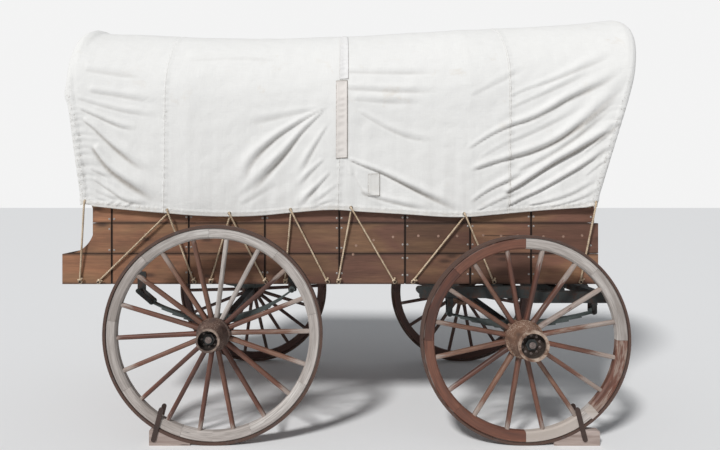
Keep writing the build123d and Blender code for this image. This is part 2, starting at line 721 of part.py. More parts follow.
# The cover is hollow. Each end turns in as a brim round an arched opening.
with BuildPart() as cover:
    for inset, mode in ((0, Mode.ADD), (cover_thickness, Mode.SUBTRACT)):
        inward = {0: inset, len(cover_rows) - 1: -inset}
        for index, (base_x, top_x, top_z) in enumerate(cover_rows):
            lean = lean_plane(base_x, cover_base_z, top_x, top_z).offset(inward.get(index, 0))
            height = Vector(top_x - base_x, 0, top_z - cover_base_z).length
            with BuildSketch(lean):
                hoop(cover_hem_half - inset, cover_shoulder - inset, height - inset, drop=inset)
        loft(ruled=True, mode=mode)
    with BuildSketch(side_plane(0)):
        with BuildLine():
            cut_rear = min(cover_rear_base_x, -cover_length / 2, hem_rows[0][0]) - cut_margin
            cut_front = max(cover_front_base_x, cover_length / 2, hem_rows[-1][0]) + cut_margin
            Polyline((cut_rear, hem_rows[0][1]), *hem_rows, (cut_front, hem_rows[-1][1]),
                     (cut_front, cover_base_z - cut_margin), (cut_rear, cover_base_z - cut_margin),
                     close=True)
        make_face()
    extrude(amount=cover_hem_half + cut_margin, both=True, mode=Mode.SUBTRACT)
    for index, mouth_top in mouth_top_z.items():
        base_x, top_x, top_z = cover_rows[index]
        lean = lean_plane(base_x, cover_base_z, top_x, top_z)
        rise = Vector(top_x - base_x, 0, top_z - cover_base_z).length / (top_z - cover_base_z)
        low, spring, high = ((z - cover_base_z) * rise for z in (brim_low_z, mouth_spring_z, mouth_top))
        inner_half = cover_shoulder - cover_thickness
        with BuildSketch(lean):
            with BuildLine():
                Polyline((box_inner_half, spring), (box_inner_half, low), (inner_half, low),
                         (inner_half, 0), (-inner_half, 0), (-inner_half, low),
                         (-box_inner_half, low), (-box_inner_half, spring))
                EllipticalCenterArc((0, spring), box_inner_half, high - spring, start_angle=0,
                                    arc_size=180)
            make_face()
        extrude(amount=4 * cover_thickness, both=True, mode=Mode.SUBTRACT)
save(cover.part, "cover")

# Tie ropes
for side, hand in ((-1, "right"), (1, "left")):
    with BuildPart() as ropes:
        for top_x, foot_x in rope_rows:
            hem = 0
            for (x0, z0), (x1, z1) in zip(hem_rows, hem_rows[1:]):
                if x0 <= top_x <= x1:
                    hem = z0 + (z1 - z0) * (top_x - x0) / (x1 - x0)
            top = Vector(top_x, side * (cover_hem_half - cover_thickness / 2), hem - wood_gap - rope_radius)
            foot = Vector(foot_x, side * (box_half_width + wood_gap + rope_radius), box_bottom_z + 3)
            with BuildSketch(Plane(origin=foot, z_dir=top - foot)):
                Circle(rope_radius)
            extrude(amount=(top - foot).length)
    save(ropes.part, f"tie_ropes_{hand}")

# Wheel chocks, each held to its wheel by a strap on both faces
# place, and from the axle: the back, the tip and the crest, where the tyre leaves it
chock_rows = (
    ("rear", -394, -139, -363),
    ("front", 459, 175, 344),
)
chock_back_share = 0.9      # height of the back, as a share of the crest's
strap_foot_at = (365, 40)   # from the axle, above the ground
strap_head_at = (318, 225)
chock_strap = (30, 6)       # width, thickness
for place, back, tip, crest in chock_rows:
    axle_x, radius = axle_x_of[place], wheel_radius[place]
    fit = radius + wood_gap
    y = track / 2
    with BuildPart() as chock:
        with BuildSketch(side_plane(-y)):
            with BuildLine():
                crest_z = radius - (fit**2 - crest**2) ** 0.5
                tip_z = radius - (fit**2 - tip**2) ** 0.5
                mid = (crest + tip) / 2
                mid_z = radius - (fit**2 - mid**2) ** 0.5
                ThreePointArc((axle_x + tip, tip_z), (axle_x + mid, mid_z), (axle_x + crest, crest_z))
                Polyline((axle_x + crest, crest_z), (axle_x + back, crest_z * chock_back_share),
                         (axle_x + back, 0), (axle_x + tip, 0), (axle_x + tip, tip_z))
            make_face()
        extrude(amount=tyre_width / 2, both=True)
        lean = 1 if back > 0 else -1
        foot, head = ((axle_x + lean * at[0], at[1]) for at in (strap_foot_at, strap_head_at))
        strap, thickness = chock_strap
        for near_y in (y + tyre_width / 2, y - tyre_width / 2 - thickness):
            link_plate(foot, head, -1, near_y, thickness, strap)
    save(chock.part, f"chock_{place}")
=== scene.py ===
# %% [markdown]
# A covered wagon, dressed in Blender.
# The wagon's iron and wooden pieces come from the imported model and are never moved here.
# This file gives them their finishes, and adds what is soft or small: the cotton cover with
# its folds, seams and patches, the tie ropes, the bolts and the stitches.
# It is laid out in cells: each cell of text says what a piece is on the real wagon and why it
# is made the way it is, and the code cell after it makes it.

# %% Load the frame
from math import cos, pi, radians, sin

import bmesh
import bpy
import numpy as np
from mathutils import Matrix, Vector


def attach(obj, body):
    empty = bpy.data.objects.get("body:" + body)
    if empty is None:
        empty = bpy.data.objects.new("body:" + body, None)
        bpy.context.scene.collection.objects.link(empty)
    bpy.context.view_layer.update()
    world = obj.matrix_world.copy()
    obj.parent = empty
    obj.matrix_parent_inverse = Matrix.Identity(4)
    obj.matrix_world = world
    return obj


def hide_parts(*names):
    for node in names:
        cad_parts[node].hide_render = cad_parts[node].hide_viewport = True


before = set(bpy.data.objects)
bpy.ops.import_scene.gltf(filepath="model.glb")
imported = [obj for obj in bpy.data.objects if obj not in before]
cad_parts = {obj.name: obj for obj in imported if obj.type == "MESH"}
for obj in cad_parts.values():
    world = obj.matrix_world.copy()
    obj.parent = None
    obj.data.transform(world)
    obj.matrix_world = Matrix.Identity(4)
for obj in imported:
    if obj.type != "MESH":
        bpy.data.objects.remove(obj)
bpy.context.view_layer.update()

# %% [markdown]
# The camera stands where the photographer stood: level, 1.55 m above the ground, square to the
# wagon's side and a little to the rear of its middle. The picture is a crop, so the lens axis
# isn't in its middle, and the two shift values say by how much.

# %% Camera
picture_width, picture_height = 720, 450
focal_pixels = 488  # the focal length, in pixels of the picture
vanishing_point = (334, 196)  # where lines across the wagon meet in the picture
camera_place = Vector((-0.165, -3.836, 1.554))

camera_data = bpy.data.cameras.new("camera")
camera_data.sensor_width = 36
camera_data.lens = camera_data.sensor_width * focal_pixels / picture_width
camera_data.shift_x = (picture_width / 2 - vanishing_point[0]) / picture_width
camera_data.shift_y = (vanishing_point[1] - picture_height / 2) / picture_width
camera = bpy.data.objects.new("camera", camera_data)
camera.location = camera_place
camera.rotation_euler = (radians(90), 0, 0)
bpy.context.scene.collection.objects.link(camera)
bpy.context.scene.camera = camera
bpy.context.scene.view_settings.view_transform = "Standard"
print("lens:", round(camera_data.lens, 2), "mm")

# %% [markdown]
# Soft studio light. One wide lamp stands high on the camera's left, where the sun was, so that
# each fold of the cover has a lit side and a shaded side. A pale world fills the shadows. The
# floor is a plain pale sheet that reaches the horizon, and the world behind it is as pale.

# %% Light and floor
key_direction = Vector((0.40, 0.58, -0.71))  # the way the light travels
key_strength = 2.8
key_width = radians(9)
world_strength = 0.30
backdrop_tone = 0.80
floor_half = 60

sun_data = bpy.data.lights.new("key", "SUN")
sun_data.energy = key_strength
sun_data.angle = key_width
sun = bpy.data.objects.new("key", sun_data)
sun.rotation_euler = key_direction.to_track_quat("-Z", "Y").to_euler()
bpy.context.scene.collection.objects.link(sun)

world = bpy.data.worlds.new("studio")
bpy.context.scene.world = world
world.use_nodes = True
sky = world.node_tree
backdrop = sky.nodes["Background"]
backdrop.inputs["Color"].default_value = (0.93, 0.96, 1, 1)
backdrop.inputs["Strength"].default_value = world_strength
seen = sky.nodes.new("ShaderNodeBackground")
seen.inputs["Color"].default_value = (0.90, 0.90, 0.90, 1)
path = sky.nodes.new("ShaderNodeLightPath")
pick = sky.nodes.new("ShaderNodeMixShader")
sky.links.new(path.outputs["Is Camera Ray"], pick.inputs[0])
sky.links.new(backdrop.outputs[0], pick.inputs[1])
sky.links.new(seen.outputs[0], pick.inputs[2])
sky.links.new(pick.outputs[0], sky.nodes["World Output"].inputs[0])

floor_mesh = bpy.data.meshes.new("floor")
floor_mesh.from_pydata(
    [(-floor_half, -floor_half, 0), (floor_half, -floor_half, 0),
     (floor_half, floor_half, 0), (-floor_half, floor_half, 0)],
    [], [(0, 1, 2, 3)])
floor = bpy.data.objects.new("floor", floor_mesh)
bpy.context.scene.collection.objects.link(floor)
floor_paint = bpy.data.materials.new("floor")
floor_paint.use_nodes = True
floor_shader = floor_paint.node_tree.nodes["Principled BSDF"]
floor_shader.inputs["Base Color"].default_value = (backdrop_tone,) * 3 + (1,)
floor_shader.inputs["Roughness"].default_value = 0.9
floor_mesh.materials.append(floor_paint)

# %% [markdown]
# Materials are graphs of nodes. Small helpers keep the graphs readable: they add a node and
# fill its sockets, do arithmetic, mix two colours, and open, close or place a group. The last
# ones start a finish, feed its shader, and give it to a mesh or to nodes of the model.

# %% Shader helpers
def feed(tree, socket, value):
    """Gives a socket a value, or links it to another node's output."""
    if isinstance(value, bpy.types.NodeSocket):
        tree.links.new(value, socket)
    elif hasattr(value, "__len__") and socket.type == "RGBA":
        socket.default_value = (*value[:3], 1)
    else:
        socket.default_value = value


def plant(tree, kind, sockets=None, **settings):
    """Adds a node by its full name. Sockets are named or numbered; settings are its own."""
    made = tree.nodes.new(kind)
    for name, value in settings.items():
        setattr(made, name, value)
    for name, value in (sockets or {}).items():
        feed(tree, made.inputs[name], value)
    return made


def put(tree, kind, sockets=None, **settings):
    """Adds a shader node by the rest of its name."""
    return plant(tree, "ShaderNode" + kind, sockets, **settings)


def calc(tree, operation, *values):
    """One arithmetic node; gives its result."""
    return put(tree, "Math", dict(enumerate(values)), operation=operation).outputs[0]


def span(tree, value, low, high, to_low=0.0, to_high=1.0, smooth=False):
    """Maps low..high to to_low..to_high, held at both ends."""
    made = put(tree, "MapRange", {"Value": value, "From Min": low, "From Max": high,
                                  "To Min": to_low, "To Max": to_high},
               interpolation_type="SMOOTHSTEP" if smooth else "LINEAR")
    return made.outputs[0]


def mix(tree, share, first, second, mode="MIX"):
    """Mixes two colours by a share."""
    made = put(tree, "Mix", {0: share, 6: first, 7: second}, data_type="RGBA", blend_type=mode)
    return made.outputs[2]


def noise(tree, vector, scale, detail=3.0, roughness=0.55, distortion=0.0, seed=0.0):
    """Value of a 4-D noise, whose fourth coordinate is a seed."""
    made = put(tree, "TexNoise", {"Vector": vector, "W": seed, "Scale": scale, "Detail": detail,
                                  "Roughness": roughness, "Distortion": distortion},
               noise_dimensions="4D")
    return made.outputs["Fac"]


def stretch(tree, vector, factors):
    """A vector times three factors."""
    made = put(tree, "VectorMath", {0: vector, 1: factors}, operation="MULTIPLY")
    return made.outputs[0]


def shade(tree, colour, tone):
    """A colour times a tone, which is one number."""
    grey = put(tree, "CombineColor", {0: tone, 1: tone, 2: tone}).outputs[0]
    return mix(tree, 1.0, colour, grey, "MULTIPLY")


def open_group(name, inputs, outputs):
    """A shader group with named sockets: its tree, its inputs by name, and its output node."""
    tree = bpy.data.node_groups.new(name, "ShaderNodeTree")
    for label, kind, value in inputs:
        socket = tree.interface.new_socket(label, in_out="INPUT", socket_type="NodeSocket" + kind)
        if value is not None:
            socket.default_value = value
    for label, kind in outputs:
        tree.interface.new_socket(label, in_out="OUTPUT", socket_type="NodeSocket" + kind)
    given = tree.nodes.new("NodeGroupInput")
    wanted = tree.nodes.new("NodeGroupOutput")
    return tree, given.outputs, wanted.inputs


def close_group(tree, wanted, results):
    """Links a group's results to its outputs, by name."""
    for label, value in results.items():
        tree.links.new(value, wanted[label])


def use_group(tree, group, sockets):
    """Places a group in a material; gives its outputs."""
    made = put(tree, "Group", node_tree=group)
    for name, value in sockets.items():
        feed(tree, made.inputs[name], value)
    return made.outputs


def new_finish(name):
    """A new material: its tree, its shader and the Object coordinates."""
    made = bpy.data.materials.new(name)
    made.use_nodes = True
    tree = made.node_tree
    where = put(tree, "TexCoord").outputs["Object"]
    return made, tree, tree.nodes["Principled BSDF"], where


def set_shader(tree, shader, colour=None, roughness=None, metallic=None, height=None, depth=0.001):
    """Feeds the shader; height goes through a Bump node, depth is in metres."""
    for label, value in (("Base Color", colour), ("Roughness", roughness), ("Metallic", metallic)):
        if value is not None:
            feed(tree, shader.inputs[label], value)
    if height is not None:
        bump = put(tree, "Bump", {"Height": height, "Distance": depth, "Strength": 1.0})
        tree.links.new(bump.outputs[0], shader.inputs["Normal"])


def dress(mesh, made):
    """Makes a finish the only one on a mesh."""
    mesh.materials.clear()
    mesh.materials.append(made)


def dress_nodes(names, made):
    """Gives a finish to nodes of the model."""
    for name in names:
        dress(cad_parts[name].data, made)


# %% [markdown]
# Wood shows long fibres. Noise that is squeezed across the grain and drawn out along it gives
# broad streaks and fine fibres, and the rare peaks of a third noise open into weather cracks.
# The group takes a vector whose first coordinate runs along the grain, in metres.

# %% Wood group
wood_group, given, wanted = open_group(
    "wood fibres",
    [("Vector", "Vector", None), ("Seed", "Float", 0.0), ("Cracks", "Float", 0.5)],
    [("Streaks", "Float"), ("Fibres", "Float"), ("Cracks", "Float"), ("Height", "Float")])
tree = wood_group
streaks = noise(tree, stretch(tree, given["Vector"], (1.7, 22, 22)), 1.0, 5.0, 0.6, 0.4,
                given["Seed"])
fibres = noise(tree, stretch(tree, given["Vector"], (9, 260, 260)), 1.0, 2.0, 0.6, 0.0,
               given["Seed"])
splits = noise(tree, stretch(tree, given["Vector"], (2.4, 70, 70)), 1.0, 3.0, 0.5, 0.6,
               calc(tree, "ADD", given["Seed"], 7.3))
edge = calc(tree, "SUBTRACT", 0.80, calc(tree, "MULTIPLY", given["Cracks"], 0.16))
cracks = span(tree, splits, edge, calc(tree, "ADD", edge, 0.035))
rise = calc(tree, "ADD", calc(tree, "MULTIPLY", fibres, 0.55),
            calc(tree, "MULTIPLY", streaks, 0.45))
rise = calc(tree, "SUBTRACT", rise, cracks)
close_group(tree, wanted, {"Streaks": streaks, "Fibres": fibres, "Cracks": cracks, "Height": rise})

# %% [markdown]
# On a wheel the grain follows each spoke, and bends round with each felloe. This group turns a
# point into wheel coordinates: its distance from the hub, its turn from the top, and the number
# of the spoke or felloe that it is on. From these come one vector along a spoke and one along
# the rim, and a random value for each piece.

# %% Wheel group
rim_radius = 0.62  # turns an angle into a length along the rim
piece_shift = 9.0  # metres that set the pieces' grain apart

wheel_group, given, wanted = open_group(
    "place on a wheel",
    [("Vector", "Vector", None), ("Centre X", "Float", 0.0), ("Centre Z", "Float", 0.0),
     ("Count", "Float", 16.0), ("First", "Float", 0.0), ("Seed", "Float", 0.0)],
    [("Along spoke", "Vector"), ("Along rim", "Vector"), ("Random", "Float"), ("Turn", "Float"),
     ("Radius", "Float")])
tree = wheel_group
axes = put(tree, "SeparateXYZ", {0: given["Vector"]}).outputs
dx = calc(tree, "SUBTRACT", axes[0], given["Centre X"])
dz = calc(tree, "SUBTRACT", axes[2], given["Centre Z"])
radius = calc(tree, "SQRT", calc(tree, "ADD", calc(tree, "MULTIPLY", dx, dx),
                                 calc(tree, "MULTIPLY", dz, dz)))
angle = calc(tree, "ARCTAN2", dx, dz)
step = calc(tree, "DIVIDE", 2 * pi, given["Count"])
place = calc(tree, "DIVIDE", calc(tree, "SUBTRACT", angle, given["First"]), step)
index = calc(tree, "ROUND", place)
index = calc(tree, "FLOORED_MODULO", index, given["Count"])
off = calc(tree, "MULTIPLY", calc(tree, "SUBTRACT", place, calc(tree, "ROUND", place)), step)
cross = calc(tree, "MULTIPLY", radius, calc(tree, "SINE", off))
chance = put(tree, "TexWhiteNoise", {"W": calc(tree, "ADD", calc(tree, "MULTIPLY", index, 1.7),
                                               given["Seed"])}, noise_dimensions="1D").outputs[0]
shift = calc(tree, "MULTIPLY", chance, piece_shift)
spoke_vector = put(tree, "CombineXYZ", {0: calc(tree, "ADD", radius, shift), 1: cross,
                                        2: axes[1]}).outputs[0]
along_rim = calc(tree, "ADD", calc(tree, "MULTIPLY", angle, rim_radius), shift)
rim_vector = put(tree, "CombineXYZ", {0: along_rim, 1: radius, 2: axes[1]}).outputs[0]
turn = calc(tree, "FLOORED_MODULO", calc(tree, "DIVIDE", angle, 2 * pi), 1.0)
close_group(tree, wanted, {"Along spoke": spoke_vector, "Along rim": rim_vector, "Random": chance,
                           "Turn": turn, "Radius": radius})

# %% [markdown]
# Rust is blotchy at two scales. Where it wins, the surface is brown, rough and no longer
# metallic; where it loses, dark worn iron shows.

# %% Rust group
rust_group, given, wanted = open_group(
    "rust",
    [("Vector", "Vector", None), ("Amount", "Float", 0.5), ("Seed", "Float", 0.0)],
    [("Mask", "Float"), ("Blotches", "Float"), ("Grit", "Float")])
tree = rust_group
blotches = noise(tree, given["Vector"], 14.0, 6.0, 0.65, 0.3, given["Seed"])
grit = noise(tree, given["Vector"], 180.0, 3.0, 0.6, 0.0, given["Seed"])
level = calc(tree, "SUBTRACT", 0.85, calc(tree, "MULTIPLY", given["Amount"], 0.7))
mask = span(tree, calc(tree, "ADD", blotches, calc(tree, "MULTIPLY", grit, 0.18)),
            level, calc(tree, "ADD", level, 0.16))
close_group(tree, wanted, {"Mask": mask, "Blotches": blotches, "Grit": grit})

# %% [markdown]
# The wheels. Each felloe and spoke has its own tone, and its own share of paint left. A small
# table says how much paint each wheel's pieces keep: 0 is bare wood and 1 is all paint. The
# felloes of the right rear wheel are bare. On both right wheels some bare felloes, most of them
# near the top, are made lighter: partly bleached wood, partly painted light from above. On the
# right front wheel four of the eight keep their red-brown paint and the lowest is new, pale wood.
# Paint goes first at the tips of the spokes, and the felloes are scuffed beside the tyre.

# %% Wheel tables
tyre_middle_y = 0.775
wheel_rows = {  # centre X, centre Z, spokes, first spoke in degrees, felloes, inner felloe radius
    "rear": (-0.922, 0.686, 18, 8.0, 9, 0.603),
    "front": (1.031, 0.654, 16, 11.25, 8, 0.570),
}
felloe_depth = {"rear": 0.066, "front": 0.070}
paint_red = (0.150, 0.052, 0.032)
paint_dark = (0.060, 0.026, 0.019)
paint_orange = (0.200, 0.083, 0.051)
left_wheel_shade = (0.55, 0.55, 0.60)  # painted shade: the left wheels stand in shade, so their paint is darkened
grey_wood = (0.60, 0.555, 0.52)
# lighter wood for the felloes near the top: bleached, and painted light from above
lit_bleached_wood = (0.74, 0.715, 0.68)
grey_wood_dark = (0.23, 0.20, 0.18)
pale_wood = (0.54, 0.49, 0.455)
pale_wood_dark = (0.36, 0.30, 0.25)
brown_wood = (0.235, 0.135, 0.090)
scuffed_wood = (0.42, 0.37, 0.34)
wheel_crack = (0.012, 0.009, 0.007)

# wheel: paint kept by each felloe, from the top forwards, and by each spoke
felloe_paint = {
    "rear_right": (0.05, 0.0, 0.05, 0.0, 0.10, 0.0, 0.25, 0.15, 0.05),
    "front_right": (0.0, 0.10, 0.50, 0.0, 0.95, 1.0, 0.95, 0.90),
    "rear_left": (0.9, 0.8, 1.0, 0.7, 0.9, 1.0, 0.8, 0.9, 0.7),
    "front_left": (0.9, 0.8, 1.0, 0.7, 0.9, 1.0, 0.8, 0.9),
}
spoke_paint = {
    "rear_right": (0.0, 0.05, 0.74, 0.66, 0.60, 0.68, 0.80, 0.85, 0.90, 0.85, 0.85, 0.85, 0.70, 0.85,
                   0.75, 0.80, 0.70, 0.90),
    "front_right": (0.75, 0.6, 0.35, 0.55, 0.7, 0.6, 0.85, 0.9) + (0.9, 0.85, 0.9, 0.95) * 2,
    "rear_left": (0.85, 0.95, 0.9) * 6,
    "front_left": (0.85, 0.95, 0.9, 0.8) * 4,
}
felloe_top_light = {  # how much lighter each bare felloe is: bleaching, and painted light on those near the top
    "rear_right": (0.45, 0.20, 0.10, 0.30, 0.0, 0.0, 0.0, 0.0, 0.95),
    "front_right": (0.30, 0.25, 0.0, 0.0, 0.0, 0.0, 0.0, 0.0),
}
mended_wheel = "front_right"
brown_felloe = (0, 0, 0.6, 0, 0, 0, 0, 0)  # on the mended wheel, how brown each bare felloe is
new_felloe = (0, 0, 0, 1, 0, 0, 0, 0)  # and which one is new
new_wood_end = 146  # degrees from the top; the old felloe shows beyond it
worn_tips = {  # length of a worn tip in metres, and how much more it wears
    "front_right": (0.22, 0.36),
    "rear_right": (0.15, 0.32),
}
usual_tip = (0.06, 0.28)
worn_foot = (0.15, 0.10, 0.10)  # radius where it begins, radius where it is full, how much
scuff_band = (0.009, 0.004)  # inwards from the tyre: where it begins, and where it is full
wear_rows = {  # cracks, shares of fibres and patches, paint's edge, least and most faded
    "felloes": (0.75, 0.3, 0.7, 0.06, 0.35, 1.0),
    "spokes": (0.45, 0.5, 0.5, 0.11, 0.15, 0.9),
}

# %% [markdown]
# The finish of a wheel's wood is worked out in steps: what is bare, what the bare wood looks
# like, what the paint looks like, and then one over the other. Each step is a function, and a
# ramp with sharp steps looks up each felloe's or spoke's own value by its turn on the wheel.

# %% Wheel wood
def steps_of(tree, turn, values, start):
    """A value for each of the equal shares of a turn, which begin at start, from a ramp."""
    moved = calc(tree, "FLOORED_MODULO", calc(tree, "SUBTRACT", turn, start), 1.0)
    ramp = put(tree, "ValToRGB", {0: moved})
    ramp.color_ramp.interpolation = "CONSTANT"
    while len(ramp.color_ramp.elements) < len(values):
        ramp.color_ramp.elements.new(1.0)
    for number, value in enumerate(values):
        ramp.color_ramp.elements[number].position = number / len(values)
        ramp.color_ramp.elements[number].color = (value, value, value, 1)
    return put(tree, "SeparateColor", {0: ramp.outputs[0]}).outputs[0]


def worn_ends(tree, radius, inner, wheel):
    """How much more a spoke wears at its tip and at its foot."""
    worn_length, worn_share = worn_tips.get(wheel, usual_tip)
    tip = span(tree, radius, inner - worn_length, inner + 0.005, 0.0, worn_share)
    foot = span(tree, radius, worn_foot[0], worn_foot[1], 0.0, worn_foot[2])
    return calc(tree, "ADD", tip, foot)


def old_wood(tree, wheel, on_rim, at, grain, patches, keep, start):
    """Bare wood of a wheel: grey, and in places lighter with bleaching and painted light, brown or new."""
    light_wood = grey_wood
    # partly painted light: bare felloes near the top are made lighter, with bleaching
    if on_rim and wheel in felloe_top_light:
        top_light_share = steps_of(tree, at["Turn"], felloe_top_light[wheel], start)
        light_wood = mix(tree, top_light_share, grey_wood, lit_bleached_wood)
    wood = mix(tree, span(tree, grain["Streaks"], 0.3, 0.66), grey_wood_dark, light_wood)
    if on_rim:
        brown_share = calc(tree, "MULTIPLY", at["Random"], 0.12)
    else:
        brown_share = calc(tree, "MULTIPLY", span(tree, keep, 0.05, 0.4, 0.15, 0.62),
                           span(tree, patches, 0.35, 0.60, 0.4, 1.0))
    wood = mix(tree, brown_share, wood, brown_wood)
    wood = mix(tree, span(tree, grain["Fibres"], 0.46, 0.62, 0.0, 0.62), wood, grey_wood_dark)
    if on_rim and wheel == mended_wheel:
        wood = mix(tree, steps_of(tree, at["Turn"], brown_felloe, start), wood, brown_wood)
        new_piece = calc(tree, "MULTIPLY", steps_of(tree, at["Turn"], new_felloe, start),
                         calc(tree, "GREATER_THAN", at["Turn"], new_wood_end / 360))
        wood = mix(tree, new_piece, wood, mix(tree, grain["Streaks"], pale_wood_dark, pale_wood))
    return wood


def old_paint(tree, kind, hand, at, grain, patches):
    """Red-brown paint, faded in patches, with dark fibres; on the left wheels it is darkened by painted
    shade.
    """
    least_faded, most_faded = wear_rows[kind][-2:]
    paint = mix(tree, span(tree, grain["Streaks"], 0.38, 0.60), paint_dark, paint_red)
    faded = calc(tree, "MULTIPLY", at["Random"],
                 span(tree, patches, 0.35, 0.65, least_faded, most_faded))
    paint = mix(tree, faded, paint, paint_orange if kind == "felloes" else brown_wood)
    paint = mix(tree, span(tree, grain["Fibres"], 0.48, 0.64, 0.0, 0.55), paint, paint_dark)
    # painted shade: the left wheels' paint is darkened because they stand in shade
    if hand == "left":
        paint = mix(tree, 1.0, paint, left_wheel_shade, "MULTIPLY")
    return paint


def wheel_finish(kind, place, hand, number):
    """The material of a wheel's felloes or spokes."""
    centre_x, centre_z, spokes, first, felloes, inner = wheel_rows[place]
    cracks, fine, broad, paint_edge = wear_rows[kind][:4]
    made, tree, shader, where = new_finish(f"{kind} {place} {hand}")
    wheel, on_rim = f"{place}_{hand}", kind == "felloes"
    count = felloes if on_rim else spokes
    start = first / 360 - 0.5 / spokes  # the turn at which the first piece begins
    at = use_group(tree, wheel_group, {
        "Vector": where, "Centre X": centre_x, "Centre Z": centre_z, "Count": count,
        "First": (start + 0.5 / count) * 2 * pi, "Seed": number * 3.1 + 0.4})
    vector = at["Along rim" if on_rim else "Along spoke"]
    grain = use_group(tree, wood_group, {"Vector": vector, "Seed": number * 1.3, "Cracks": cracks})
    keep = steps_of(tree, at["Turn"], (felloe_paint if on_rim else spoke_paint)[wheel], start)
    patches = noise(tree, stretch(tree, vector, (5, 30, 30)), 1.0, 5.0, 0.65, 0.5, number * 2.2)
    wear = calc(tree, "MULTIPLY_ADD", grain["Fibres"], fine, calc(tree, "MULTIPLY", patches, broad))
    if not on_rim:
        wear = calc(tree, "ADD", wear, worn_ends(tree, at["Radius"], inner, wheel))
    limit = span(tree, keep, 0.0, 1.0, 0.15, 0.80)
    bare = span(tree, wear, limit, calc(tree, "ADD", limit, paint_edge))
    colour = mix(tree, bare, old_paint(tree, kind, hand, at, grain, patches),
                 old_wood(tree, wheel, on_rim, at, grain, patches, keep, start))
    if on_rim:
        begins, full = (inner + felloe_depth[place] - inside for inside in scuff_band)
        scuffed = calc(tree, "MULTIPLY", span(tree, at["Radius"], begins, full, 0.0, 0.8),
                       span(tree, patches, 0.46, 0.56))
        colour = mix(tree, scuffed, colour, scuffed_wood)
    colour = mix(tree, calc(tree, "MULTIPLY", grain["Cracks"], 0.85), colour, wheel_crack)
    set_shader(tree, shader, colour, span(tree, bare, 0.0, 1.0, 0.55, 0.82), None, grain["Height"], 0.0012)
    return made


# %% [markdown]
# Tyres, hubs and running gear are iron. The rust group says where rust wins. A hub has marks of
# its own: the rim of its nose is made bright, rubbed iron with a painted highlight, pale specks
# sit on its shell, and painted shade darkens its recess. The springs, axles, hangers and
# turntable were painted black; the paint is dull and a little green, and rust comes through it.

# %% Iron finishes
nose_rim = 0.902  # |Y| past which a hub's nose is bright: rubbed iron with a painted highlight
rubbed_fade = 0.006  # and over which the bright rim begins
recess_fade = 0.014  # over which the painted shade of the recess ends
recess_radius = {"rear": 0.060, "front": 0.076}
# painted shade: the dark colour put in a hub's recess
recess_shade_colour = (0.016, 0.013, 0.011)


def hub_marks(tree, colour, marks, where, edge, place):
    """Adds the bright rim, rubbed iron with a painted highlight, and the specks, both of the edge's colour,
    and the painted shade of the recess.
    """
    out = calc(tree, "ABSOLUTE", put(tree, "SeparateXYZ", {0: where}).outputs[1])
    # partly painted highlight: the nose's rim is made bright as well as rubbed
    rubbed_and_lit = calc(tree, "MULTIPLY", span(tree, out, nose_rim, nose_rim + rubbed_fade),
                  span(tree, marks["Blotches"], 0.42, 0.62))
    colour = mix(tree, rubbed_and_lit, colour, edge)
    speck = calc(tree, "MULTIPLY", span(tree, marks["Grit"], 0.50, 0.60, 0.0, 0.85),
                 span(tree, marks["Blotches"], 0.44, 0.58))
    colour = mix(tree, speck, colour, edge)
    centre_x, centre_z = wheel_rows[place][:2]
    at = use_group(tree, wheel_group, {"Vector": where, "Centre X": centre_x, "Centre Z": centre_z})
    wall = recess_radius[place]
    # painted shade inside the recess
    inside = calc(tree, "MULTIPLY", span(tree, at["Radius"], wall + 0.001, wall),
                  span(tree, out, nose_rim + recess_fade, nose_rim))
    return mix(tree, calc(tree, "MULTIPLY", inside, 0.88), colour, recess_shade_colour)


def iron_finish(name, worn_and_shade, rust, amount, seed, rough=0.5, metal=0.8, edge=None, place=None):
    """Worn iron, partly rusted. A hub has an edge, the colour of its rim's rubbed iron and painted
    highlight, and its wheel's place.
    """
    made, tree, shader, where = new_finish(name)
    marks = use_group(tree, rust_group, {"Vector": where, "Amount": amount, "Seed": seed})
    rust_tone = mix(tree, marks["Blotches"], tuple(0.45 * c for c in rust), rust)
    worn_tone = mix(tree, marks["Grit"], tuple(0.6 * c for c in worn_and_shade), worn_and_shade)
    colour = mix(tree, marks["Mask"], worn_tone, rust_tone)
    if edge:
        colour = hub_marks(tree, colour, marks, where, edge, place)
    set_shader(tree, shader, colour,
               span(tree, marks["Mask"], 0.0, 1.0, rough, 0.88),
               span(tree, marks["Mask"], 0.0, 1.0, metal, 0.0), marks["Grit"], 0.0006)
    return made


# name, worn iron, rust, amount of rust, seed
tyre_iron = iron_finish("tyre iron", (0.20, 0.165, 0.16), (0.125, 0.072, 0.055), 0.70, 2.0, rough=0.42)
hub_irons = {
    "rear": iron_finish("rear hub iron", (0.20, 0.15, 0.13), (0.105, 0.052, 0.036), 0.55, 5.0,
                        rough=0.36, edge=(0.34, 0.26, 0.21), place="rear"),
    "front": iron_finish("front hub iron", (0.20, 0.14, 0.11), (0.220, 0.115, 0.072), 0.70, 8.0,
                         edge=(0.50, 0.40, 0.32), place="front"),
}
for number, (place, hand) in enumerate((p, h) for p in wheel_rows for h in ("right", "left")):
    finishes = {
        "tyre": tyre_iron,
        "hub": hub_irons[place],
        "felloes": wheel_finish("felloes", place, hand, number),
        "spokes": wheel_finish("spokes", place, hand, number + 5),
    }
    for kind, made in finishes.items():
        dress_nodes([f"{kind}_{place}_{hand}"], made)

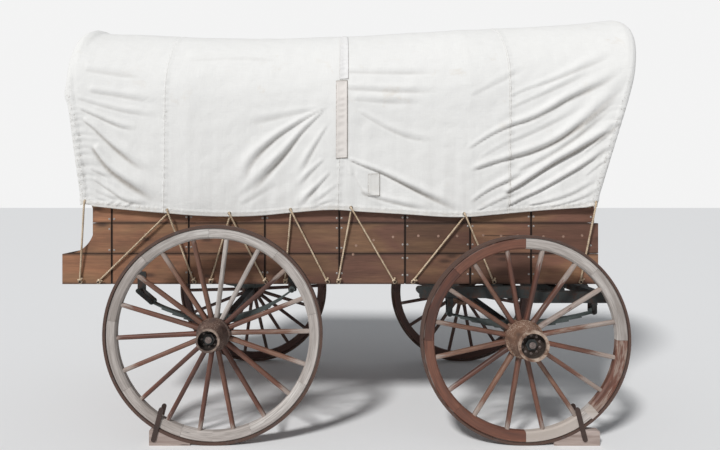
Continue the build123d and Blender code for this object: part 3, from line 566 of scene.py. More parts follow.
gear_paint = iron_finish("gear iron", (0.030, 0.034, 0.033), (0.075, 0.034, 0.022), 0.38, 3.0,
                         rough=0.55, metal=0.0)
spring_paint = iron_finish("spring iron", (0.105, 0.125, 0.120), (0.095, 0.060, 0.045), 0.22, 6.0,
                           metal=0.2)
dress_nodes(("rear_axle", "front_axle", "rear_hangers", "front_hangers", "front_frame",
             "turntable_upper", "turntable_lower", "front_stays", "gate_hinges", "pole_forks"),
            gear_paint)
dress_nodes(("rear_springs", "front_springs"), spring_paint)
print("finishes so far:", len(bpy.data.materials))

# %% [markdown]
# The box is stained boards. Each board gets its own tone: its row comes from the height and its
# panel from the joints along the side. The rear end of the side is warmer and the front is
# greyer, and the middle is darker than the ends. Edges are darker, where water sits between the
# boards. A few knots lie in cells of their own, and one dry split runs between two plugs of the
# right side.

# %% Box tables
board_low = 0.967
board_pitch = 0.2045
board_height = 0.201
side_joints = (-1.645, -1.132, -0.625, -0.130, 0.308, 0.742, 1.148)
stain_dark = (0.085, 0.040, 0.024)
stain_warm = (0.375, 0.170, 0.086)
stain_grey = (0.198, 0.090, 0.060)
stain_ochre = (0.330, 0.185, 0.092)
knot_brown = (0.050, 0.024, 0.015)
joint_dirt = (0.018, 0.010, 0.007)
board_crack = (0.010, 0.006, 0.004)
warm_from, grey_from = -1.75, -0.15  # X of the side's warm end and of where it is grey
dark_middle = 0.1  # X of the middle of the darker part
dark_half, pale_half = 0.45, 1.20  # distances from it: where it ends, and where the ends' tone begins
dark_tone, end_tone = 0.88, 1.20
edge_dirt = 0.016  # how far dirt spreads from a board's edge
joint_half = 0.010  # and beside an upright joint
knots_along, knots_up = 3.0, 8.0  # cells in a metre
knot_rarity = 0.62  # the share of the cells that have no knot
knot_edge, knot_heart = 0.16, 0.05  # as shares of a cell
split_from, split_to, split_height = 0.829, 1.064, 1.2895  # X of its ends, and its height
split_wander = 0.010
split_edge, split_deep = 0.0032, 0.0014  # from its middle


# %% Box finish
def board_knots(tree, grain_way, height, seed):
    """How dark a knot is at a place, 0 where there is none: at most one in each cell."""
    cell = put(tree, "CombineXYZ", {
        0: calc(tree, "MULTIPLY", calc(tree, "ADD", grain_way, seed), knots_along),
        1: calc(tree, "MULTIPLY", height, knots_up)}).outputs[0]
    cells = put(tree, "TexVoronoi", {"Vector": cell, "Scale": 1.0}, voronoi_dimensions="2D").outputs
    chance = put(tree, "SeparateColor", {0: cells["Color"]}).outputs[0]
    knot = span(tree, cells["Distance"], knot_edge, knot_heart, 0.0, 0.75)
    return calc(tree, "MULTIPLY", knot, calc(tree, "GREATER_THAN", chance, knot_rarity))


def side_dirt(tree, damp, axes, streaks):
    """Adds to the damp edges the dirt beside the side's joints, and its split."""
    for joint in side_joints:
        beside = calc(tree, "ABSOLUTE", calc(tree, "SUBTRACT", axes[0], joint))
        near = span(tree, beside, joint_half, 0.45 * joint_half, 0.0, 0.93)
        damp = calc(tree, "MAXIMUM", damp, near)
    wander = calc(tree, "MULTIPLY_ADD", streaks, split_wander, split_height - split_wander / 2)
    away = calc(tree, "ABSOLUTE", calc(tree, "SUBTRACT", axes[2], wander))
    length = calc(tree, "MULTIPLY", calc(tree, "GREATER_THAN", axes[0], split_from),
                  calc(tree, "LESS_THAN", axes[0], split_to))
    length = calc(tree, "MULTIPLY", length, calc(tree, "LESS_THAN", axes[1], 0.0))
    split = calc(tree, "MULTIPLY", length, span(tree, away, split_edge, split_deep, 0.0, 0.9))
    return calc(tree, "MAXIMUM", damp, split)


def board_panel(tree, x, joints):
    """How many of the joints a place has passed."""
    panel = calc(tree, "GREATER_THAN", x, joints[0])
    for joint in joints[1:]:
        panel = calc(tree, "ADD", panel, calc(tree, "GREATER_THAN", x, joint))
    return panel


def board_finish(name, along, seed, brightness=1.0):
    """Stained boards: along is 0 if the grain runs along X, and 1 if it runs along Y."""
    made, tree, shader, where = new_finish(name)
    axes = put(tree, "SeparateXYZ", {0: where}).outputs
    above = calc(tree, "SUBTRACT", axes[2], board_low)
    row = calc(tree, "FLOOR", calc(tree, "DIVIDE", above, board_pitch))
    panel = board_panel(tree, axes[0], (0.0,) if along else side_joints)
    key = calc(tree, "MULTIPLY_ADD", row, 3.7, calc(tree, "MULTIPLY_ADD", panel, 1.9, seed))
    chance = put(tree, "TexWhiteNoise", {"W": key}, noise_dimensions="1D").outputs[0]
    order = (1, 0, 2) if along else (0, 1, 2)
    vector = put(tree, "CombineXYZ", {
        0: calc(tree, "ADD", axes[order[0]], calc(tree, "MULTIPLY", chance, 11)),
        1: axes[order[1]], 2: axes[order[2]]}).outputs[0]
    grain = use_group(tree, wood_group, {"Vector": vector, "Seed": seed, "Cracks": 0.35})
    stain = mix(tree, span(tree, axes[0], warm_from, grey_from), stain_warm, stain_grey)
    ochre = noise(tree, stretch(tree, vector, (1.6, 4.5, 4.5)), 1.0, 3.0, 0.55, 0.7, seed + 9.0)
    stain = mix(tree, span(tree, ochre, 0.46, 0.64, 0.0, 0.70), stain, stain_ochre)
    blotches = noise(tree, stretch(tree, vector, (2.2, 5.5, 5.5)), 1.0, 4.0, 0.6, 0.4, seed + 2.0)
    colour = mix(tree, span(tree, grain["Streaks"], 0.28, 0.68, 0.42, 1.0), stain_dark, stain)
    colour = mix(tree, span(tree, blotches, 0.45, 0.68, 0.0, 0.45), colour, stain_dark)
    colour = mix(tree, span(tree, grain["Fibres"], 0.35, 0.7, 0.0, 0.35), colour,
                 tuple(0.5 * c for c in stain_dark))
    colour = mix(tree, board_knots(tree, axes[order[0]], axes[2], seed), colour, knot_brown)
    tone = calc(tree, "MULTIPLY_ADD", chance, 0.40, 0.80 * brightness)
    if not along:
        from_middle = calc(tree, "ABSOLUTE", calc(tree, "SUBTRACT", axes[0], dark_middle))
        tone = calc(tree, "MULTIPLY", tone,
                    span(tree, from_middle, dark_half, pale_half, dark_tone, end_tone))
    colour = shade(tree, colour, tone)
    # distance from the board's nearer edge, in metres
    inside = calc(tree, "SUBTRACT", above, calc(tree, "MULTIPLY", row, board_pitch))
    edge = calc(tree, "MINIMUM", inside, calc(tree, "SUBTRACT", board_height, inside))
    damp = span(tree, edge, 0.0, edge_dirt, 0.75, 0.0)
    if not along:
        damp = side_dirt(tree, damp, axes, grain["Streaks"])
    colour = mix(tree, damp, colour, joint_dirt)
    colour = mix(tree, calc(tree, "MULTIPLY", grain["Cracks"], 0.8), colour, board_crack)
    set_shader(tree, shader, colour, span(tree, grain["Fibres"], 0.2, 0.8, 0.62, 0.80), None,
               grain["Height"], 0.0010)
    return made


dress_nodes(("side_boards_right", "side_boards_left", "floor_planks"), board_finish("side boards", 0, 1.0))
dress_nodes(("front_board", "boot_boards", "tail_gate", "floor_bearers", "side_posts_right",
             "side_posts_left"), board_finish("cross boards", 1, 4.0, 0.9))
print("board rows:", [round(board_low + row * board_pitch, 3) for row in range(3)])

# %% [markdown]
# The bows are bent ash, bare and dry. The chocks are offcuts of bare board with an iron strap
# on each face. What stands outside the tyre's width, or higher than the block, is strap, which
# tells the iron from the wood.

# %% Bow and chock finishes
strap_from = 0.0252  # from the tyre's middle
chock_top_z = 0.106  # just above the blocks
strap_iron = ((0.02, 0.015, 0.013), (0.07, 0.035, 0.025))  # dark and light


def strap_mask(tree, where):
    """1 on the chocks' straps, 0 on their blocks."""
    axes = put(tree, "SeparateXYZ", {0: where}).outputs
    side = calc(tree, "ABSOLUTE", axes[1])
    out = calc(tree, "ABSOLUTE", calc(tree, "SUBTRACT", side, tyre_middle_y))
    return calc(tree, "MAXIMUM", calc(tree, "GREATER_THAN", out, strap_from),
                calc(tree, "GREATER_THAN", axes[2], chock_top_z))


def bare_wood_finish(name, light, dark, seed, strap=False):
    """Bare wood, with its grain along X; with strap, the chock's straps are iron."""
    made, tree, shader, where = new_finish(name)
    grain = use_group(tree, wood_group, {"Vector": where, "Seed": seed, "Cracks": 0.6})
    colour = mix(tree, span(tree, grain["Streaks"], 0.3, 0.7), dark, light)
    colour = mix(tree, grain["Cracks"], colour, tuple(0.2 * c for c in dark))
    rough = 0.8
    if strap:
        iron = strap_mask(tree, where)
        colour = mix(tree, iron, colour, mix(tree, grain["Streaks"], *strap_iron))
        rough = span(tree, iron, 0.0, 1.0, 0.8, 0.5)
    set_shader(tree, shader, colour, rough, 0.0, grain["Height"], 0.001)
    return made


dress_nodes(["bows"], bare_wood_finish("bow wood", (0.45, 0.32, 0.20), (0.25, 0.16, 0.10), 2.0))
dress_nodes(("chock_rear", "chock_front"),
            bare_wood_finish("chock wood", (0.53, 0.44, 0.40), (0.21, 0.15, 0.125), 9.0, strap=True))
print("finishes:", [made.name for made in bpy.data.materials])


# %% [markdown]
# The cover is cotton duck, stretched over five bows and held down at its hem. A simulation
# would sag it evenly, but this cloth has hung for years, and its folds have their own places.
# So it is drawn as a surface: first the hoops of the bows and a straight pull between them,
# then a height for each sag, fold, seam and gather, added along the surface's own direction.
# Every point has two cloth coordinates: which column it is on along the wagon, and how far it
# lies from the ridge. Side 1 is the wagon's left and side -1 its right.

# %% Cover sections
cover_base_z = 1.400
cover_shoulder = 0.612  # radius of the round top, and half the width of the sides
cover_hem_half = 0.618
stations = np.array((  # base X, top X, top Z: rear end, over five bows, front end
    (-1.826, -2.020, 2.800),
    (-1.734, -1.935, 2.822),
    (-1.132, -1.132, 2.766),
    (-0.130, -0.130, 2.774),
    (0.742, 0.742, 2.826),
    (1.492, 1.925, 2.892),
    (1.545, 2.000, 2.880),
))
seam_lines = np.array((  # base X, top X of the edges and seams of the four cloths
    (-1.826, -2.020),
    (-1.287, -1.275),
    (-0.139, -0.090),
    (0.995, 1.020),
    (1.545, 2.000),
))
hem_line = (  # X along the wagon, height of the hem
    (-1.836, 1.495), (-1.533, 1.462), (-1.293, 1.442), (-1.029, 1.422), (-0.851, 1.418),
    (-0.653, 1.424), (-0.448, 1.443), (-0.145, 1.462), (0.006, 1.451), (0.277, 1.435),
    (0.695, 1.415), (0.949, 1.435), (1.220, 1.459), (1.550, 1.482),
)
span_sag = 0.010  # how far a span of 1 m sinks between two bows
arc_length = cover_shoulder * pi / 2


def smooth_line(at, points):
    """A smooth curve through points (place, height), straight beyond its ends."""
    places, heights = np.array(points).T
    slopes = np.gradient(heights, places)
    at = np.asarray(at, float)
    index = np.clip(np.searchsorted(places, at) - 1, 0, len(places) - 2)
    width = places[index + 1] - places[index]
    t = np.clip((at - places[index]) / width, 0, 1)
    return ((2 * t**3 - 3 * t**2 + 1) * heights[index] + (t**3 - 2 * t**2 + t) * width * slopes[index]
            + (3 * t**2 - 2 * t**3) * heights[index + 1] + (t**3 - t**2) * width * slopes[index + 1])


def ease(value, low, high):
    """0 at low, 1 at high, smooth between, and held beyond."""
    t = np.clip((value - low) / (high - low), 0, 1)
    return t * t * (3 - 2 * t)


def bell(value, width):
    """1 at zero, falling off over a width to both sides."""
    return np.exp(-((value / width) ** 2))


def section_of(base_x, top_x):
    """Ridge height, height along the lean, and length from the ridge to the hem, for a column."""
    top_z = np.interp(top_x, stations[:, 1], stations[:, 2])
    rise = np.hypot(top_x - base_x, top_z - cover_base_z)
    hem_z = smooth_line(base_x + (top_x - base_x) * 0.04, hem_line)
    hem_rise = (hem_z - cover_base_z) * rise / (top_z - cover_base_z)
    return top_z, rise, arc_length + rise - cover_shoulder - hem_rise


def hoop_point(base_x, top_x, length, side):
    """Places and outward directions on the plain hoops."""
    base_x, top_x, length, side = np.broadcast_arrays(base_x, top_x, length, side)
    top_z, rise, _ = section_of(base_x, top_x)
    turn = np.minimum(length / cover_shoulder, pi / 2)
    shoulder_rise = rise - cover_shoulder
    height = shoulder_rise + cover_shoulder * np.cos(turn) - np.maximum(length - arc_length, 0)
    below = np.maximum(length - arc_length, 0) / shoulder_rise
    width = cover_shoulder * np.sin(turn) + (cover_hem_half - cover_shoulder) * below
    share = height / rise
    lean = np.stack((top_x - base_x, 0 * rise, top_z - cover_base_z), -1) / rise[..., None]
    place = np.stack((base_x + (top_x - base_x) * share, side * width,
                      cover_base_z + (top_z - cover_base_z) * share), -1)
    out = lean * np.cos(turn)[..., None]
    out[..., 1] += side * np.sin(turn)
    return place, out, share


# %% [markdown]
# The folds. Each row of this table is one fold, traced on the photo: how high it stands
# in millimetres, how wide it is in the picture at its start and its end, and the places that it
# runs through, in the picture's own pixels. A fold starts sharp where the cloth is held, widens
# and dies out towards its last place. The camera of this scene sees the cover as the photo
# does, so a point of the cloth is projected through it to find how near each fold it lies. The
# left side uses the same table, moved and weaker, because nobody saw it.

# %% Folds
# height in mm, width in pixels at the start and at the end, places in pixels
fold_rows = (
    (8, 2, 4, (76, 98), (100, 105), (130, 112), (165, 117)),
    (14, 1.7, 3.5, (79.5, 108.5), (94, 115), (105, 120), (121, 126.5), (142, 130)),
    (24, 2.0, 6.5, (82, 119), (94, 128.5), (104, 138), (115, 148), (125, 156), (138, 165), (154, 170)),
    (27, 3.6, 7.5, (92, 146), (103, 162), (111, 170.5), (123, 179.5), (138, 189), (150, 196), (163, 205)),
    (11, 1.3, 2.8, (90, 168.5), (97, 172), (104, 175), (112, 179)),
    (16, 1.4, 3.8, (92, 178.5), (104, 186.6), (115, 194), (126, 201), (136, 203), (152, 205)),
    (8, 1.2, 2.6, (94, 190), (102, 193.5), (110, 197), (124, 200)),
    (6, 1.1, 2.0, (94, 197.5), (99, 199), (106, 201)),
    (6, 1.1, 1.9, (108, 205.5), (111, 203.5), (115, 201.5)),
    (6, 1.1, 1.9, (116, 206.5), (119, 204.5), (123, 202.5)),
    (7, 1.2, 2.1, (125, 207.5), (129, 205), (134, 203.5)),
    (7, 4, 6, (84, 69), (118, 73), (156, 77)),
    (8, 3, 5, (88, 91), (125, 96), (160, 103)),
    (22, 0.9, 6.5, (329, 106), (301, 121), (273, 140), (250, 164), (237, 196)),
    (26, 1.0, 7.5, (326, 109), (302, 132), (284, 154), (264, 176), (240, 202)),
    (14, 1.2, 4.5, (328, 125), (318, 141), (308, 158), (296, 180)),
    (12, 1.5, 4, (324, 160), (310, 173), (296, 190)),
    (17, 1.2, 4.5, (331, 172), (318, 186), (305, 200), (296, 212)),
    (10, 1.2, 4, (338, 184), (322, 197), (308, 208)),
    (6, 1.5, 3, (337, 199), (322, 204), (306, 211)),
    (8, 2, 7, (322, 108), (290, 114), (255, 121), (230, 124)),
    (6, 3, 6, (240, 205), (262, 192), (285, 178)),
    (5, 4, 8, (185, 60), (240, 56), (310, 60)),
    (29, 1.3, 5.0, (346.5, 158.5), (363, 165.5), (378, 171), (405, 184), (430, 196.5), (470, 215)),
    (8, 1.0, 5, (348, 160), (356, 178), (368, 198), (376, 212)),
    (12, 2, 4, (360, 192), (378, 198), (397, 203), (436, 211)),
    (7, 3.2, 4.6, (345, 71), (370, 71.5), (397, 71.5), (425, 71), (458, 69)),
    (8, 3.2, 5.0, (345, 88), (370, 89), (397, 90), (425, 90), (458, 88)),
    (6, 3, 5, (352, 99), (385, 101), (430, 102)),
    (9, 2, 5, (358, 111), (375, 121), (390, 129), (416, 138), (448, 141)),
    (7, 2, 6, (470, 96), (486, 88), (508, 76), (535, 62)),
    (11, 1.5, 5.5, (509, 97), (530, 88), (550, 81), (587, 65), (628, 47)),
    (9, 1.5, 5, (511, 108), (532, 99), (562, 85), (600, 66)),
    (21, 1.6, 6, (466, 151), (478, 143), (491, 135), (510, 126), (531, 119), (570, 98), (608, 79),
     (634, 60)),
    (8, 1.6, 4.5, (478, 160), (500, 147), (530, 134), (560, 119), (598, 98)),
    (27, 2, 7, (470, 171), (490, 164), (510, 158), (531, 152), (556, 141), (579, 125), (608, 100),
     (634, 72)),
    (12, 2.5, 6, (516, 172), (545, 158), (575, 138), (604, 113), (628, 92)),
    (31, 2.6, 5, (503, 195), (517, 187), (531, 178), (556, 162), (579, 149), (604, 134), (634, 112)),
    (22, 1.6, 3.6, (506, 208), (520, 200), (541, 190), (564, 177), (587, 163), (606, 150), (624, 138)),
    (17, 1.4, 3.6, (472, 202), (480, 196), (493, 188), (510, 180), (530, 170)),
    (12, 1.2, 3, (478, 211), (490, 205), (507, 197), (526, 190)),
    (10, 1.6, 3.4, (528, 206), (548, 202), (572, 194), (589, 185), (606, 174)),
    (8, 1.4, 3, (552, 207), (575, 201), (594, 192), (606, 184)),
    (7, 1.2, 2.4, (584, 126), (600, 113), (620, 97)),
    (8, 1.2, 2.4, (585, 153), (600, 142), (618, 128)),
    (8, 1.2, 2.4, (586, 176), (600, 165), (616, 153)),
)
fold_strength = 1.2  # the table's heights are a little low all over
far_side_share = 0.8
far_side_scale, far_side_shift = 0.985, (9, 3)  # moves the left side's folds, in pixels
start_taper, end_taper = 0.05, 0.5
shaded_way = (0.45, 1.0)  # in the picture, towards the steep side of a fold
full_shade_height = 0.022  # a fold this high, in metres, gets a painted shade of 1 in its valley
ridge_offset, ridge_width = 0.85, 0.95  # as shares of the fold's width
valley_offset, valley_width, valley_depth = 0.30, 0.60, 0.62

# Soft parallel pulls: middle in pixels, half sizes in pixels, slope in degrees, height in mm
pull_rows = (
    ((555, 140), (75, 75), -35, 4.4),
    ((115, 160), (45, 60), 42, 3.6),
    ((285, 165), (60, 50), -48, 3.2),
    ((405, 85), (70, 50), 2, 2.4),
    ((240, 70), (90, 40), 2, 1.6),
    ((405, 190), (60, 25), 24, 2.0),
    ((495, 185), (30, 35), -30, 2.4),
)
pull_waves = 7


def see(place):
    """Where the camera sees a place on the cover's near side, in pixels."""
    depth = -np.abs(place[..., 1]) - camera_place.y
    return (vanishing_point[0] + focal_pixels * (place[..., 0] - camera_place.x) / depth,
            vanishing_point[1] - focal_pixels * (place[..., 2] - camera_place.z) / depth)


def fold_relief(place, side):
    """Height of all the folds in metres, and the painted shade in their shaded valleys, from 0 to 1."""
    across, down = see(place)
    across = np.where(side < 0, across, across * far_side_scale + far_side_shift[0])
    down = np.where(side < 0, down, down + far_side_shift[1])
    height, painted_shade = np.zeros(across.shape), np.zeros(across.shape)
    for rise, start_width, end_width, *path in fold_rows:
        path = np.array(path, float)
        lengths = np.concatenate(([0], np.cumsum(np.hypot(*np.diff(path, axis=0).T))))
        fine = np.linspace(0, lengths[-1], 4 * len(path))
        line = np.stack([smooth_line(fine, np.stack((lengths, path[:, k]), -1)) for k in (0, 1)], -1)
        reach = 4 * end_width
        near = ((across > line[:, 0].min() - reach) & (across < line[:, 0].max() + reach)
                & (down > line[:, 1].min() - reach) & (down < line[:, 1].max() + reach))
        point = np.stack((across[near], down[near]), -1)
        nearest = np.full(len(point), 1e9)
        offset = np.zeros(len(point))
        share = np.zeros(len(point))
        for index, (start, end) in enumerate(zip(line, line[1:])):
            run = end - start
            t = np.clip(((point - start) @ run) / (run @ run), 0, 1)
            gap = point - start - t[:, None] * run
            distance = np.hypot(*gap.T)
            closer = distance < nearest
            nearest[closer] = distance[closer]
            facing = np.sign(gap @ np.array(shaded_way))
            offset[closer] = (facing * distance)[closer]
            share[closer] = ((index + t) / (len(line) - 1))[closer]
        width = start_width + (end_width - start_width) * share
        strength = (fold_strength * rise / 1000 * (width / end_width) ** 0.8 * ease(share, 0, start_taper)
                    * ease(1 - share, 0, end_taper))
        offset /= width
        height[near] += strength * (bell(offset + ridge_offset, ridge_width)
                                    - valley_depth * bell(offset - valley_offset, valley_width))
        # painted shade along the valley on the fold's shaded side
        painted_shade[near] += strength / full_shade_height * bell(offset - valley_offset, 0.8 * valley_width)
    random_pulls = np.random.default_rng(11)
    for middle, half, slope, rise in pull_rows:
        x, y = across - middle[0], down - middle[1]
        along = x * cos(radians(slope)) + y * sin(radians(slope))
        cross = y * cos(radians(slope)) - x * sin(radians(slope))
        inside = bell(x / half[0], 1.0) * bell(y / half[1], 1.0)
        for _ in range(pull_waves):
            size = random_pulls.uniform(7, 22)
            bend, long_size = random_pulls.uniform(1, 4), random_pulls.uniform(50, 130)
            phase, late = random_pulls.uniform(0, 2 * pi, 2)
            wave = np.sin(2 * pi / size * (cross + bend * np.sin(along / long_size * 4 + late)) + phase)
            fading = 0.5 + 0.5 * np.sin(2 * pi / long_size * along + late)
            height += rise / 1000 / pull_waves * (size / 14) * wave * fading * inside * 1.6
    strength = np.where(side < 0, 1.0, far_side_share)
    return height * strength, np.clip(painted_shade * strength, 0, 1)


# %% [markdown]
# Beside the folds, cloth is never quite flat. A few dozen soft waves with random directions,
# from a fixed seed, give it broad hollows and small crumples. Where a drawstring gathers the
# end, the cloth puckers in uneven short waves with sharp bottoms, which die out over a hand's
# width. The hem is folded over twice and sewn, which makes a raised band with small puckers.

# %% Waves, gathers and hem
random_waves = np.random.default_rng(7)
wave_rows = []  # height in metres, wave number along and around, phase
for number, longest, shortest, total in ((12, 0.75, 0.30, 0.0065), (40, 0.20, 0.06, 0.0046)):
    for _ in range(number):
        size = random_waves.uniform(shortest, longest)
        heading = random_waves.uniform(0, pi)
        wave_rows.append((total / number * size / longest * 2, 2 * pi / size * cos(heading),
                          2 * pi / size * sin(heading), random_waves.uniform(0, 2 * pi)))
gather_height = 0.0075
gather_pitch = 0.049
gather_reach = 0.065
gather_from_z, gather_full_z = 2.26, 2.02
front_gathers = 0.6  # as a share of the rear's
rear_drop, rear_drop_reach = 0.024, 0.10  # behind the rear bow, which stands up
hem_ruffle, seam_ruffle = 0.0016, 0.0024
casing_width = 0.050
casing_height = 0.0022
hem_band = 0.030
hem_height = 0.0014
seam_lap = 0.014  # how far one cloth reaches over the next
seam_step = 0.0017  # how far the lower cloth is pressed in there
bow_half = 0.024


def gathers(around, end):
    """Uneven puckers round an end of the cover: 1 on a crest, -1 in a sharp bottom."""
    turn = 2 * pi * around / gather_pitch + 2.3 * np.sin(around * 11 + end) + 1.2 * np.sin(around * 29)
    crest = 2 * np.abs(np.sin(turn / 2)) ** 0.7 - 1
    return crest * (0.62 + 0.38 * np.sin(around * 8.3 + end)) + 0.25 * np.sin(around * 187)


def gather_strength(place, end_index):
    """Gathers are strong beside the box and gone under the hood; the rear's are the stronger."""
    return ease(place[..., 2], gather_from_z, gather_full_z) * (1.0 if end_index == 0 else front_gathers)


def cloth_relief(place, share, length, side, to_hem):
    """How far the cloth stands out from the plain hoops, in metres, and the painted shade in its creases, 0
    to 1.
    """
    lines = stations[:, 0] + (stations[:, 1] - stations[:, 0]) * share[..., None]
    x = place[..., 0]
    span_index = np.clip((x[..., None] > lines).sum(-1) - 1, 0, len(stations) - 2)
    start = np.take_along_axis(lines, span_index[..., None], -1)[..., 0]
    end = np.take_along_axis(lines, span_index[..., None] + 1, -1)[..., 0]
    t = np.clip((x - start) / (end - start), 0, 1)
    height = -span_sag * (end - start) ** 1.5 * 4 * t * (1 - t)
    behind = (x - lines[..., 1]) / rear_drop_reach
    height -= np.where(behind > 0, rear_drop * behind * np.exp(1 - behind), 0) * ease(length, 0.75, 0.2)
    below_ridge = ease(length, 0.18, 0.40)
    folds, painted_shade = fold_relief(place, side)
    height += folds * below_ridge
    painted_shade = painted_shade * below_ridge
    around = length * side
    for rise, along_number, around_number, phase in wave_rows:
        height += rise * np.sin(along_number * x + around_number * around + phase)
    for end_index, sign in ((0, 1), (-1, -1)):
        inside = np.maximum((x - lines[..., end_index]) * sign, 0)
        strength = gather_strength(place, end_index)
        puckers = gathers(around, end_index)
        past_casing = np.maximum(inside - casing_width, 0)
        fading = np.where(inside < casing_width, 0.45 + 0.55 * inside / casing_width,
                          np.exp(-past_casing / gather_reach))
        height += gather_height * puckers * fading * strength
        # painted shade in the sharp bottoms of the gathers
        painted_shade += 0.7 * strength * ease(puckers, -0.30, -0.95) * bell(inside - casing_width, 0.030)
        on_casing = ease(inside, 0.004, 0.014) * ease(inside, casing_width + 0.008, casing_width - 0.002)
        height += casing_height * on_casing * (1 + 0.4 * np.sin(around * 97 + x * 60))
    height += hem_height * ease(to_hem, hem_band + 0.006, hem_band - 0.004)
    height += hem_ruffle * bell(to_hem - hem_band, 0.014) * np.sin(x * 165 + 2 * np.sin(x * 23))
    for base_x, top_x in seam_lines[1:-1]:
        from_seam = x - (base_x + (top_x - base_x) * share)
        height += seam_ruffle * bell(from_seam, 0.020) * np.sin(around * 130 + 2.2 * np.sin(around * 19))
    # the cloth can't sink into a bow, nor into the boards
    to_bow = np.abs(x[..., None] - lines[..., 1:6]).min(-1)
    lowest = -0.004 - 0.016 * ease(to_bow, bow_half, bow_half + 0.05)
    return np.where(height > lowest, height, lowest + 0.25 * (height - lowest)), np.clip(painted_shade, 0, 1)


def cloth_point(base_x, top_x, length, side, lift=0.0):
    """Places on the finished cloth, lifted in metres, and the painted shade in their creases."""
    place, out, share = hoop_point(base_x, top_x, length, side)
    to_hem = section_of(np.asarray(base_x), np.asarray(top_x))[2] - length
    length, side, to_hem = (np.broadcast_to(value, share.shape) for value in (length, side, to_hem))
    height, painted_shade = cloth_relief(place, share, length, side, to_hem)
    return place + out * (height + lift)[..., None], painted_shade


# %% [markdown]
# At each end the cloth turns in round the last bow, like the brim of a hood. High up it turns
# far in, down the sides it ends in a narrow casing that leaves the way in open, and beside the
# boards it only rolls over its own edge. The turn is a curve with three points: on the side,
# at the corner, and on the end.

# %% Ends of the cover
mouth_half = 0.560
mouth_spring_z = 2.05  # where the mouth's straight sides end and its arch begins
mouth_top_z = {0: 2.56, -1: 2.60}
brim_low_z = 1.525  # below this the brim would meet the side boards
rolled_half = 0.606
turn_small, turn_large = 0.026, 0.090
turn_columns = 7
brim_columns = 12
brim_from_z, brim_full_z = 2.12, 2.62
brim_hollow = 0.022
rear_bulge = 0.020  # how far the rear end swells out
rear_bulge_z, rear_bulge_half = 2.247, 0.055


def end_columns(end, length, side):
    """Places past the end line, from the turn to the mouth's edge; one column each."""
    base_x, top_x, top_z = stations[end]
    sign = 1 if end == 0 else -1
    corner, _, share = hoop_point(base_x, top_x, length, side)
    high = ease(corner[..., 2], brim_from_z, brim_full_z)
    reach = turn_small + (turn_large - turn_small) * high
    low_end = (corner[..., 2] <= mouth_spring_z)
    spring = length[~low_end].max() if (~low_end).any() else 1.0
    angle = np.clip(length / spring, 0, 1) * pi / 2
    straight = rolled_half + (mouth_half - rolled_half) * ease(corner[..., 2], brim_low_z,
                                                               brim_low_z + 0.05)
    edge_y = np.where(low_end, straight, mouth_half * np.sin(angle))
    edge_z = np.where(low_end, corner[..., 2],
                      mouth_spring_z + (mouth_top_z[end] - mouth_spring_z) * np.cos(angle))
    edge_share = (edge_z - cover_base_z) / (top_z - cover_base_z)
    edge = np.stack((base_x + (top_x - base_x) * edge_share, side * edge_y, edge_z), -1)
    inner_x = reach * sign
    start, _ = cloth_point(base_x + inner_x, top_x + inner_x, length, side)
    way = edge - corner
    far = np.linalg.norm(way, axis=-1, keepdims=True)
    finish = corner + way / far * np.minimum(reach[..., None], 0.6 * far)
    gather = gathers(length * side, end) * gather_height * np.maximum(gather_strength(corner, end), 0.25)
    columns = []
    for number in range(turn_columns):
        t = (number + 1) / turn_columns
        bent = (1 - t) ** 2 * start + 2 * t * (1 - t) * corner + t * t * finish
        bent[..., 0] -= sign * t * 0.4 * gather
        columns.append(bent)
    for number in range(brim_columns):
        t = (number + 1) / brim_columns
        flat = finish + (edge - finish) * t
        depth = brim_hollow * np.sin(pi * t) * high
        flat[..., 0] -= sign * (depth + (0.4 + 0.9 * t) * gather)
        columns.append(flat)
    bulge = rear_bulge * bell(corner[..., 2] - rear_bulge_z, rear_bulge_half) if end == 0 else 0.0
    for number, column in enumerate(columns):
        t = (number + 1) / turn_columns
        column[..., 0] -= sign * bulge * min(t, 1.0)
    return columns, reach


# %% [markdown]
# Four lengths of cloth make the cover, sewn together at three seams, each a little over the
# next. Each becomes a grid of points, with closer rows near the hem. A UV map in metres lets the
# weave follow the cloth, and two attributes tell the finish how near a point is to the hem, a
# seam and an end, and how much painted shade it gets in a crease. A thin wall is then grown
# inwards, so the cloth is a closed sheet.

# %% Cloths
cloth_thickness = 0.0016
grid_step = 0.0112
hem_rows_width = 0.055
hem_rows_step = 0.0055
far_away = 9.0  # metres, for what is near no seam


def grid_mesh(name, places, uv, marks):
    """A mesh from a grid of places (columns, rows, 3), its UV map in metres and its marks."""
    columns, rows = places.shape[:2]
    index = np.arange(columns * rows).reshape(columns, rows)
    quads = np.stack((index[:-1, :-1], index[1:, :-1], index[1:, 1:], index[:-1, 1:]), -1).reshape(-1, 4)
    mesh = bpy.data.meshes.new(name)
    mesh.from_pydata(places.reshape(-1, 3).tolist(), [], quads.tolist())
    layer = mesh.uv_layers.new(name="cloth")
    layer.data.foreach_set("uv", uv.reshape(-1, 2)[quads.reshape(-1)].astype(np.float32).reshape(-1))
    for label, values in marks.items():
        kind, field = ("FLOAT_VECTOR", "vector") if values.ndim == 3 else ("FLOAT", "value")
        mark = mesh.attributes.new(label, kind, "POINT")
        mark.data.foreach_set(field, np.ascontiguousarray(values, np.float32).reshape(-1))
    mesh.polygons.foreach_set("use_smooth", np.ones(len(mesh.polygons), bool))
    mesh.update()
    made = bpy.data.objects.new(name, mesh)
    bpy.context.scene.collection.objects.link(made)
    return made


def apply_modifiers(piece):
    """Makes what a piece's modifiers show its own mesh."""
    bpy.context.view_layer.update()
    plain = bpy.data.meshes.new_from_object(piece.evaluated_get(bpy.context.evaluated_depsgraph_get()))
    piece.modifiers.clear()
    piece.data = plain
    return piece


